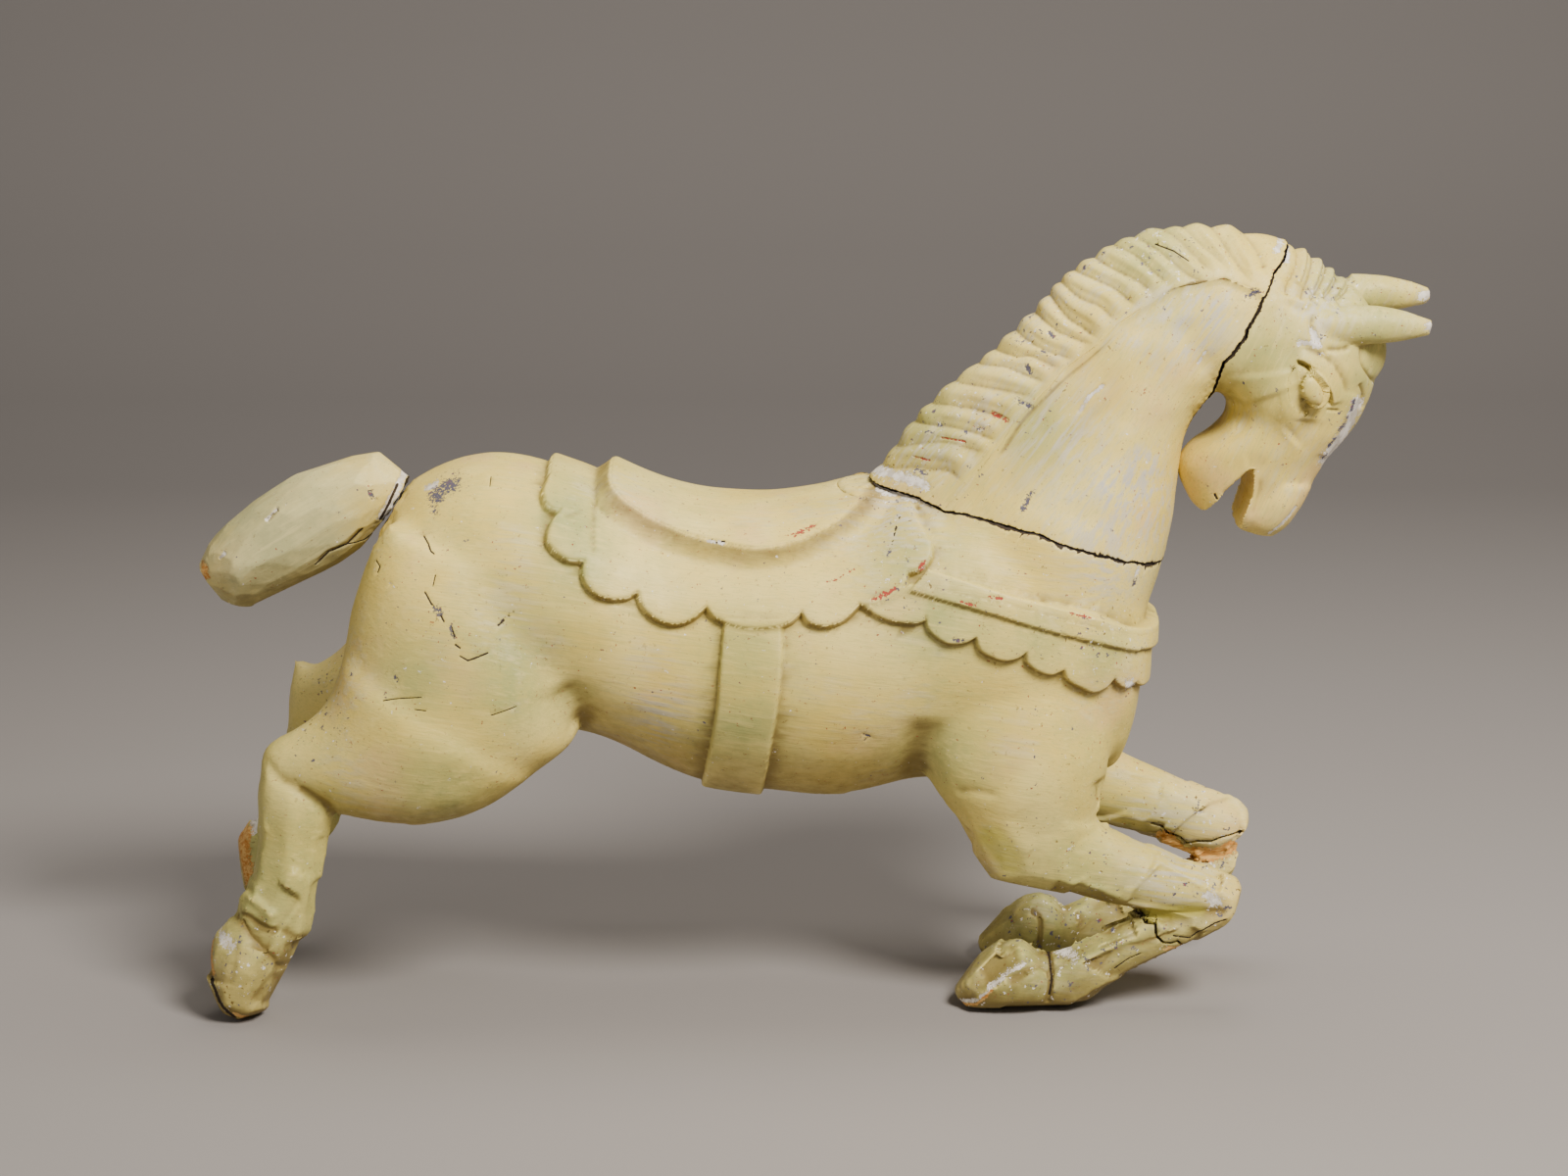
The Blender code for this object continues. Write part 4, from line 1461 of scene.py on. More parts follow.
    def strokes(self) -> list[Stroke]:
        """Lists the lines cut on the harness and the legs."""
        return [
            Stroke(((-0.1962, 0.4998), (-0.1975, 0.4854), (-0.1959, 0.4707), (-0.1950, 0.4450),
                    (-0.1945, 0.4309)),
                   0.004, 0.0014, fade=0.15, dirt_and_shade=0.5),
            Stroke(((-0.2230, 0.4640), (-0.2150, 0.4655), (-0.2060, 0.4670)), 0.004, 0.0016, side=Side.NEAR,
                   fade=0.2),
            Stroke(((0.207, 0.057), (0.216, 0.052), (0.218, 0.044), (0.217, 0.030), (0.215, 0.008)), 0.005,
                   0.0022, fade=0.08, wraps=True),
            Stroke(((0.251, 0.053), (0.258, 0.047), (0.260, 0.038)), 0.005, 0.0020, fade=0.1, side=Side.FAR),
            Stroke(((0.135, 0.007), (0.146, 0.010), (0.161, 0.027), (0.179, 0.042), (0.195, 0.051)), 0.007,
                   0.0022, Cut.RIDGE, fade=0.1),
            Stroke(((0.150, 0.034), (0.170, 0.050), (0.190, 0.062)), 0.022, 0.0035, fade=0.2, dirt_and_shade=0.1),
            Stroke(((0.262, 0.068), (0.292, 0.090), (0.322, 0.094), (0.359, 0.097), (0.382, 0.098)), 0.010,
                   0.0040, Cut.VEE, fade=0.1),
            Stroke(((0.243, 0.063), (0.278, 0.070), (0.311, 0.078)), 0.008, 0.0012, Cut.RIDGE),
            Stroke(((-0.518, 0.101), (-0.511, 0.089), (-0.499, 0.076), (-0.487, 0.062), (-0.483, 0.045)),
                   0.007,
                   0.0030, Cut.VEE, fade=0.1, wraps=True),
            Stroke(((-0.524, 0.111), (-0.510, 0.117), (-0.496, 0.112), (-0.484, 0.100)), 0.010, 0.0035,
                   Cut.RIDGE,
                   fade=0.15),
            Stroke(((-0.520, 0.104), (-0.509, 0.101), (-0.498, 0.094), (-0.480, 0.088)), 0.007, 0.0022,
                   fade=0.15),
            Stroke(((-0.487, 0.096), (-0.472, 0.085), (-0.458, 0.073)), 0.009, 0.0012, fade=0.25, dirt_and_shade=0.2),
            Stroke(((-0.473, 0.225), (-0.4725, 0.186), (-0.4725, 0.148), (-0.472, 0.104)), 0.024, 0.0016,
                   Cut.RIDGE, fade=0.3),
            Stroke(((-0.492, 0.250), (-0.482, 0.234), (-0.467, 0.226), (-0.452, 0.216), (-0.439, 0.206),
                    (-0.430, 0.193)), 0.012, 0.0028, fade=0.15, dirt_and_shade=0.35),
            Stroke(((-0.199, 0.262), (-0.222, 0.285), (-0.232, 0.320)), 0.040, 0.0060, dirt_and_shade=0.25),
            Stroke(((0.100, 0.205), (0.094, 0.235), (0.100, 0.290)), 0.034, 0.0050, dirt_and_shade=0.25),
            Stroke(((0.272, 0.185), (0.262, 0.205), (0.258, 0.225)), 0.016, 0.0040, dirt_and_shade=0.3),
            Stroke(((0.124, 0.214), (0.146, 0.216), (0.170, 0.214)), 0.010, 0.0015, dirt_and_shade=0.2),
            Stroke(((0.322, 0.143), (0.356, 0.121), (0.382, 0.128), (0.412, 0.133)), 0.007, 0.0030, Cut.VEE,
                   side=Side.FAR, fade=0.1, dirt_and_shade=1.0),
        ]

    def joints(self) -> list[tuple[Joint, bool]]:
        """Lists the glue lines at the neck and the tail."""
        return [(NECK_JOINT, False), (TAIL_JOINT, False)]


@dataclass
class Neck(Block):
    """Arched neck with the cut locks of its mane."""

    mane_height: float = 0.0032
    groove_depth: float = 0.0040
    grooves: tuple[Path, ...] = (
        ((0.0500, 0.4960), (0.0688, 0.5003), (0.1009, 0.5013), (0.1203, 0.4997), (0.1350, 0.4899)),
        ((0.0560, 0.5090), (0.0928, 0.5198), (0.1183, 0.5235), (0.1398, 0.5196), (0.1569, 0.5153)),
        ((0.0760, 0.5360), (0.1143, 0.5374), (0.1398, 0.5344), (0.1568, 0.5295), (0.1674, 0.5259)),
        ((0.0880, 0.5530), (0.1253, 0.5556), (0.1486, 0.5525), (0.1656, 0.5485), (0.1783, 0.5460)),
        ((0.1100, 0.5750), (0.1491, 0.5728), (0.1788, 0.5695), (0.1980, 0.5651)),
        ((0.1250, 0.5890), (0.1666, 0.5910), (0.1876, 0.5854), (0.2002, 0.5811), (0.2086, 0.5762)),
        ((0.1440, 0.6080), (0.1793, 0.6005), (0.1921, 0.6012), (0.2068, 0.5959), (0.2217, 0.5897)),
        ((0.1680, 0.6290), (0.1945, 0.6114), (0.2093, 0.6050), (0.2198, 0.6023), (0.2327, 0.5979)),
        ((0.1850, 0.6470), (0.2118, 0.6257), (0.2265, 0.6192), (0.2499, 0.6115)),
        ((0.2010, 0.6650), (0.2227, 0.6376), (0.2391, 0.6263), (0.2541, 0.6159)),
        ((0.2110, 0.6720), (0.2356, 0.6528), (0.2542, 0.6456), (0.2693, 0.6309)),
        ((0.2100, 0.6840), (0.2445, 0.6708), (0.2652, 0.6625), (0.2887, 0.6439)),
        ((0.2320, 0.6980), (0.2658, 0.6788), (0.2866, 0.6693), (0.3037, 0.6557)),
        ((0.2450, 0.7060), (0.2833, 0.6916), (0.2995, 0.6779), (0.3177, 0.6623)),
        ((0.2600, 0.7160), (0.2983, 0.7003), (0.3191, 0.6843), (0.3359, 0.6721), (0.3512, 0.6687)),
        ((0.2880, 0.7290), (0.3207, 0.7084), (0.3369, 0.6924), (0.3472, 0.6823), (0.3555, 0.6741)),
        ((0.3150, 0.7330), (0.3416, 0.7027), (0.3607, 0.6861), (0.3708, 0.6740)),
        ((0.3459, 0.7320), (0.3620, 0.7064), (0.3759, 0.6840), (0.3865, 0.6672)),
        ((0.3820, 0.7200), (0.3965, 0.6897), (0.3999, 0.6733)),
    )
    hem: Path = (
        (0.1150, 0.4680), (0.1222, 0.4769), (0.1349, 0.4889), (0.1480, 0.5019), (0.1568, 0.5144),
        (0.1674, 0.5259), (0.1783, 0.5450), (0.1980, 0.5640), (0.2109, 0.5772), (0.2217, 0.5901),
        (0.2327, 0.5984), (0.2499, 0.6115), (0.2693, 0.6309), (0.2887, 0.6439), (0.3177, 0.6623),
        (0.3360, 0.6673), (0.3644, 0.6713), (0.3926, 0.6602), (0.4040, 0.6522), (0.4300, 0.6500),
    )

    def rough_form(self) -> Form:
        """Fuses the neck's skin and raises its slow swellings."""
        root = Skin(TRUNK_RIBS[6:], slope=-0.06, sides=64)
        crown = Skin(HEAD_RIBS[:5], slope=0.20, sides=72)
        form = Form.fused([Skin(NECK_RIBS, slope=0.30, sides=72), root, crown], 0.0036, 2)
        form.soften(12, 0.15 + 0.85 * ease(-NECK_JOINT.away(form.points), -0.08, -0.02))
        hem = np.asarray(self.hem)
        above = np.interp(form.points[:, 0], hem[:, 0], hem[:, 1]) < form.points[:, 2] + 0.004
        form.refine(above & (form.points[:, 0] > 0.05))
        form.push(0.0007 * waves(form.points, 0.12, 15) + 0.0003 * waves(form.points, 0.03, 16))
        return form

    def panels(self) -> list[Panel]:
        """Lists the mane as one raised panel."""
        back = np.asarray(((0.440, 0.760), (0.200, 0.760), (0.020, 0.620), (0.000, 0.480)))
        return [Panel(np.vstack([self.hem, back]), self.mane_height, bevel=0.0050, round_over=0.011,
                      dirt_and_shade=0.06)]

    def strokes(self) -> list[Stroke]:
        """Lists the cuts between locks, the finer ones and the neck's creases."""
        cuts = [
            Stroke(path, 0.0120 if k % 3 else 0.0150, self.groove_depth * (1.1, 0.75, 0.95)[k % 3], Cut.VEE,
                   wraps=True, fade=0.20, dirt_and_shade=0.20)
            for k, path in enumerate(self.grooves)
        ]
        swell = []
        for one, two in zip(self.grooves, self.grooves[1:]):
            upper, lower = (curve_through(p, 8)[:: 1] for p in (two, one))
            parts = np.linspace(0, 1, 7)
            lines = []
            for path in (upper, lower):
                place = (parts * (len(path) - 1)).astype(int)
                lines.append(path[place])
            middle = (lines[0] + lines[1]) / 2
            swell.append(Stroke(tuple(map(tuple, middle)), 0.012, 0.0012, Cut.RIDGE, wraps=True, fade=0.15))
            share = (lines[0] * 0.3 + lines[1] * 0.7)[1:6]
            swell.append(Stroke(tuple(map(tuple, share)), 0.0050, 0.0006, wraps=True, dirt_and_shade=0.05))
        return [
            *cuts, *swell,
            Stroke(((0.1567, 0.5085), (0.1697, 0.5216), (0.1873, 0.5467), (0.2131, 0.5729), (0.2392, 0.5944),
                    (0.2649, 0.6183)), 0.005, 0.0012, fade=0.15, dirt_and_shade=0.2),
            Stroke(((0.1780, 0.4750), (0.2219, 0.5500), (0.2649, 0.6000), (0.3080, 0.6400)), 0.036, 0.0045,
                   Cut.RIDGE),
            Stroke(((0.2450, 0.4550), (0.2800, 0.5300), (0.3050, 0.5900)), 0.040, 0.0030, Cut.RIDGE),
            Stroke(((0.1822, 0.4674), (0.1996, 0.4908), (0.2213, 0.5185), (0.2430, 0.5441), (0.2755, 0.5761)),
                   0.014, 0.0028, dirt_and_shade=0.1),
            Stroke(((0.352, 0.585), (0.338, 0.610), (0.330, 0.640)), 0.030, 0.0030, dirt_and_shade=0.1),
        ]

    def joints(self) -> list[tuple[Joint, bool]]:
        """Lists the glue lines at the trunk and the head."""
        return [(replace(NECK_JOINT, spans=WIDE), True), (HEAD_JOINT, True)]


@dataclass
class Head(Block):
    """Tucked head with parted lips, carved eyes, forelock and ears."""

    ear_y: float = 0.036
    far_ear_shift: Point2 = (0.011, 0.020)
    muzzle_ribs: tuple[RibSizes, ...] = (
        (0.455, 0.476, 0.392, 0.488, 0.036),
        (0.446, 0.458, 0.384, 0.464, 0.038),
        (0.434, 0.440, 0.381, 0.450, 0.034),
        (0.421, 0.430, 0.389, 0.437, 0.024),
    )
    forelock_ribs: tuple[RibSizes, ...] = (
        (0.452, 0.676, 0.440, 0.640, 0.022),
        (0.486, 0.660, 0.462, 0.624, 0.028),
        (0.514, 0.618, 0.478, 0.604, 0.027),
        (0.517, 0.590, 0.482, 0.578, 0.022),
        (0.506, 0.568, 0.484, 0.560, 0.012),
    )
    ear_ribs: tuple[RibSizes, ...] = (
        (0.436, 0.640, 0.440, 0.612, 0.014),
        (0.456, 0.643, 0.462, 0.610, 0.017),
        (0.489, 0.646, 0.492, 0.611, 0.016),
        (0.524, 0.641, 0.522, 0.613, 0.013),
        (0.552, 0.632, 0.550, 0.618, 0.008),
    )
    mouth: Path = (
        (0.3885, 0.4945), (0.3920, 0.4968), (0.3945, 0.4960), (0.3962, 0.4870), (0.3950, 0.4740),
        (0.3915, 0.4610),
        (0.3868, 0.4460), (0.3850, 0.4200), (0.3380, 0.4380), (0.3520, 0.4520), (0.3605, 0.4615),
        (0.3655, 0.4690),
        (0.3725, 0.4780), (0.3800, 0.4865),
    )

    def rough_form(self) -> Form:
        """Fuses the skull, muzzle, forelock and ears, and parts the lips."""
        parts = [
            Skin(HEAD_RIBS, slope=0.20, sides=72),
            Skin(NECK_RIBS[6:], slope=0.30, sides=72),
            Skin(self.muzzle_ribs),
            Skin(self.forelock_ribs),
        ]
        for side, shift in ((-1, (0.0, 0.0)), (1, self.far_ear_shift)):
            parts.append(Skin(self.ear_ribs, side * self.ear_y, shift=shift))
        form = Form.fused(parts, 0.0026, 2)
        form.push(0.0005 * waves(form.points, 0.08, 25) + 0.0002 * waves(form.points, 0.02, 26))
        form = self._with_mouth(form)
        flat = form.points[:, [0, 2]]
        hair = (flat[:, 0] + flat[:, 1] > 1.055) & (flat[:, 0] < 0.53)
        form.refine(hair)
        return form

    def _with_mouth(self, form: Form) -> Form:
        """Cuts the wedge between the lips.

        Args:
            form: The head so far.

        Returns:
            The head with its mouth open.
        """
        bm = bmesh.new()
        outline = curve_through([*self.mouth, self.mouth[0]], 3)[:-1]
        rows = [[bm.verts.new((x, y, z)) for x, z in outline] for y in (-0.10, 0.10)]
        for row in rows:
            bm.faces.new(row)
        for k in range(len(outline)):
            after = (k + 1) % len(outline)
            bm.faces.new((rows[0][k], rows[0][after], rows[1][after], rows[1][k]))
        bmesh.ops.recalc_face_normals(bm, faces=bm.faces)
        tool = Form._object_from(bm, "tool")
        block = form.object_named("head_block")
        cut = block.modifiers.new("cut", "BOOLEAN")
        cut.object = tool
        cut.operation = "DIFFERENCE"
        cut.solver = "EXACT"
        done = Form.taken_from(block)
        bpy.data.objects.remove(tool, do_unlink=True)
        return done

    def panels(self) -> list[Panel]:
        """Lists the eyeball and the facet sunk behind the lower lid."""
        turns = np.linspace(0, math.tau, 40, endpoint=False)
        across, up = 0.0128 * np.cos(turns), 0.0182 * np.sin(turns)
        lean = 0.25
        ball = np.stack([
            0.4450 + across * math.cos(lean) - up * math.sin(lean),
            0.5735 + across * math.sin(lean) + up * math.cos(lean),
        ], axis=1)
        hollow = np.vstack([
            curve_through(((0.4248, 0.5916), (0.4206, 0.5829), (0.4210, 0.5712), (0.4242, 0.5617),
                           (0.4314, 0.5539), (0.4393, 0.5490))),
            curve_through(((0.4400, 0.5510), (0.4345, 0.5599), (0.4310, 0.5711), (0.4290, 0.5843),
                           (0.4268, 0.5930))),
        ])
        return [
            Panel(ball, 0.0120, bevel=0.0008, round_over=0.0128, wall=0.22, dirt_and_shade=0.15, seen=0.25),
            Panel(hollow, -0.0016, bevel=0.0010, round_over=0.0100, wall=0.40, dirt_and_shade=0.0, seen=0.0),
        ]

    def strokes(self) -> list[Stroke]:
        """Lists the cuts of the face and the hair."""
        return [*self._face(), *self._hair()]

    def _face(self) -> list[Stroke]:
        """Lists the cuts round the eyes, the cheek and the jaw."""
        return [
            Stroke(((0.4340, 0.5960), (0.4448, 0.5840), (0.4500, 0.5700), (0.4480, 0.5560)), 0.0340, 0.0034,
                   fade=0.0, dirt_and_shade=0.05),
            Stroke(((0.4640, 0.5550), (0.4610, 0.5690), (0.4525, 0.5835), (0.4401, 0.5945), (0.4275, 0.6010)),
                   0.0150, 0.0030, Cut.STEP, fade=0.10, dirt_and_shade=0.0),
            Stroke(((0.4275, 0.6000), (0.4401, 0.5932), (0.4515, 0.5825), (0.4597, 0.5680), (0.4627, 0.5550)),
                   0.0034, 0.0026, fade=0.12, dirt_and_shade=0.7),
            Stroke(((0.4281, 0.6120), (0.4430, 0.6080), (0.4620, 0.5960), (0.4750, 0.5750), (0.4768, 0.5591)),
                   0.0070, 0.0022, fade=0.2, dirt_and_shade=0.25),
            Stroke(((0.4580, 0.5525), (0.4660, 0.5515), (0.4720, 0.5510)), 0.0030, 0.0012, dirt_and_shade=0.4),
            Stroke(((0.3700, 0.5640), (0.3800, 0.5446), (0.3962, 0.5377), (0.4150, 0.5345), (0.4311, 0.5380)),
                   0.0380, 0.0070, fade=0.3, dirt_and_shade=0.0),
            Stroke(((0.4000, 0.5900), (0.4030, 0.5760), (0.4080, 0.5640)), 0.0500, 0.0030, Cut.RIDGE),
            Stroke(((0.4427, 0.5464), (0.4392, 0.5356), (0.4267, 0.5235)), 0.0240, 0.0035, dirt_and_shade=0.15),
            Stroke(((0.3850, 0.5050), (0.3950, 0.5060), (0.4090, 0.5000)), 0.0200, 0.0016, dirt_and_shade=0.15),
            Stroke(((0.4010, 0.4930), (0.4020, 0.4800), (0.3985, 0.4640), (0.3940, 0.4500)), 0.0060, 0.0012,
                   dirt_and_shade=0.2),
            Stroke(((0.4870, 0.5660), (0.4790, 0.5470), (0.4700, 0.5270), (0.4610, 0.5050)), 0.0120, 0.0022,
                   Cut.RIDGE, wraps=True, fade=0.06),
            Stroke(((0.4500, 0.6120), (0.4450, 0.6180), (0.4420, 0.6300), (0.4440, 0.6400)), 0.0060, 0.0022,
                   dirt_and_shade=0.35),
            Stroke(((0.4520, 0.6090), (0.4660, 0.6075), (0.4800, 0.6085)), 0.0060, 0.0025, dirt_and_shade=0.35),
        ]

    def _hair(self) -> list[Stroke]:
        """Lists the cuts of the forelock and the poll."""
        tufts: tuple[Path, ...] = (
            ((0.4330, 0.7060), (0.4294, 0.6833), (0.4221, 0.6688), (0.4162, 0.6552)),
            ((0.4520, 0.6930), (0.4424, 0.6720), (0.4360, 0.6601), (0.4318, 0.6493)),
            ((0.4660, 0.6830), (0.4545, 0.6660), (0.4474, 0.6569), (0.4408, 0.6490)),
            ((0.4770, 0.6740), (0.4616, 0.6576), (0.4532, 0.6513)),
            ((0.4890, 0.6680), (0.4745, 0.6538), (0.4642, 0.6492)),
        )
        leaves: tuple[Path, ...] = (
            ((0.4890, 0.6120), (0.4909, 0.5936), (0.4991, 0.5810), (0.5090, 0.5700)),
            ((0.4887, 0.5759), (0.4953, 0.5625), (0.4944, 0.5478)),
        )
        locks = [Stroke(path, 0.0090, 0.0042, Cut.VEE, wraps=True, fade=0.12, dirt_and_shade=0.35) for path in tufts]
        for one, two in zip(tufts, tufts[1:]):
            middle = (curve_through(one, 3)[[0, 3, 6]] + curve_through(two, 3)[[0, 3, 6]]) / 2
            path = tuple(map(tuple, middle))
            locks.append(Stroke(path, 0.0080, 0.0018, Cut.RIDGE, wraps=True, fade=0.1))
            finer = tuple((x + 0.0035, z) for x, z in path)
            locks.append(Stroke(finer, 0.0030, 0.0010, wraps=True, fade=0.1, dirt_and_shade=0.2))
        locks += [Stroke(path, 0.0050, 0.0030, Cut.VEE, wraps=True, fade=0.15, dirt_and_shade=0.5) for path in leaves]
        locks.append(Stroke(
            ((0.4139, 0.6538), (0.4256, 0.6467), (0.4360, 0.6430), (0.4437, 0.6462), (0.4593, 0.6482)),
            0.0090, 0.0016, dirt_and_shade=0.25))
        return locks

    def joints(self) -> list[tuple[Joint, bool]]:
        """Lists the glue line at the neck."""
        return [(replace(HEAD_JOINT, spans=WIDE), False)]


@dataclass
class Tail(Block):
    """Docked club tail, left from the knife."""

    ribs: tuple[RibSizes, ...] = (
        (-0.368, 0.482, -0.394, 0.444, 0.020),
        (-0.397, 0.503, -0.414, 0.421, 0.037),
        (-0.431, 0.498, -0.450, 0.397, 0.044),
        (-0.474, 0.482, -0.488, 0.379, 0.046),
        (-0.514, 0.457, -0.519, 0.368, 0.041),
        (-0.546, 0.428, -0.545, 0.377, 0.027),
        (-0.560, 0.406, -0.557, 0.393, 0.009),
    )

    def rough_form(self) -> Form:
        """Fuses the tail and pares it into flat cuts."""
        form = Form.fused([Skin(self.ribs, sides=48)], 0.0028, 2)
        whole = np.ones(len(form.points), bool)
        form.refine(whole)
        form.push(np.full(len(form.points), 0.0008))
        form.knife(np.ones(len(form.points)), 0.026, 0.0046, 61)
        return form

    def strokes(self) -> list[Stroke]:
        """Lists the splits in the wood."""
        return [
            Stroke(((-0.494, 0.450), (-0.483, 0.461)), 0.0030, 0.0020, side=Side.NEAR, fade=0.1),
            Stroke(((-0.452, 0.408), (-0.439, 0.421), (-0.423, 0.427), (-0.408, 0.442)), 0.0030, 0.0018,
                   side=Side.NEAR, fade=0.1),
        ]

    def joints(self) -> list[tuple[Joint, bool]]:
        """Lists the glue line at the trunk."""
        return [(replace(TAIL_JOINT, spans=WIDE), True)]


@dataclass(frozen=True)
class Studio:
    """Pale floor, soft lights and the camera."""

    focal: float = 3313.0
    pitch: float = 0.2114
    stand: tuple[float, float, float] = (-0.0265, -2.918, 1.006)

    def build(self) -> None:
        """Sets up the floor, the lights and the camera."""
        self._floor()
        self._lights()
        lens = bpy.data.cameras.new("camera")
        lens.sensor_width = 36.0
        lens.lens = self.focal / 1600 * 36.0
        camera = bpy.data.objects.new("camera", lens)
        camera.location = self.stand
        camera.rotation_euler = (math.pi / 2 - self.pitch, 0.0, 0.0)
        bpy.context.scene.collection.objects.link(camera)
        bpy.context.scene.camera = camera

    def _floor(self) -> None:
        """Lays a wide pale floor that curves up far behind."""
        bm = bmesh.new()
        rows = [(-4.0, 0.0), (2.6, 0.0), (3.2, 0.06), (3.7, 0.28), (4.0, 0.7), (4.1, 3.5)]
        lines = [[bm.verts.new((x, y, z)) for x in (-6.0, 6.0)] for y, z in rows]
        for one, two in zip(lines, lines[1:]):
            bm.faces.new((one[0], one[1], two[1], two[0]))
        mesh = bpy.data.meshes.new("studio_floor")
        bm.to_mesh(mesh)
        bm.free()
        mesh.polygons.foreach_set("use_smooth", [True] * len(mesh.polygons))
        floor = bpy.data.objects.new("studio_floor", mesh)
        bpy.context.scene.collection.objects.link(floor)
        finish = bpy.data.materials.new("studio_floor")
        finish.use_nodes = True
        shader = finish.node_tree.nodes["Principled BSDF"]
        shader.inputs["Base Color"].default_value = (0.29, 0.27, 0.262, 1.0)
        shader.inputs["Roughness"].default_value = 0.75
        floor.data.materials.append(finish)

    def _lights(self) -> None:
        """Hangs a large key light, a fill and a top light."""
        for name, place, size, power in (
            ("key", (1.4, -2.0, 2.7), 1.2, 200.0),
            ("fill", (-2.3, -2.2, 1.4), 2.2, 14.0),
            ("top", (0.2, 0.5, 2.9), 1.8, 40.0),
        ):
            glow = bpy.data.lights.new(name, "AREA")
            glow.shape = "DISK"
            glow.size = size
            glow.energy = power
            glow.color = (1.0, 0.94, 0.85)
            lamp = bpy.data.objects.new(name, glow)
            lamp.location = place
            aim = Vector((0.0, 0.0, 0.30)) - Vector(place)
            lamp.rotation_euler = aim.to_track_quat("-Z", "Y").to_euler()
            bpy.context.scene.collection.objects.link(lamp)
        world = bpy.data.worlds.new("soft_room")
        world.use_nodes = True
        world.node_tree.nodes["Background"].inputs["Color"].default_value = (0.92, 0.88, 0.84, 1.0)
        world.node_tree.nodes["Background"].inputs["Strength"].default_value = 0.15
        bpy.context.scene.world = world


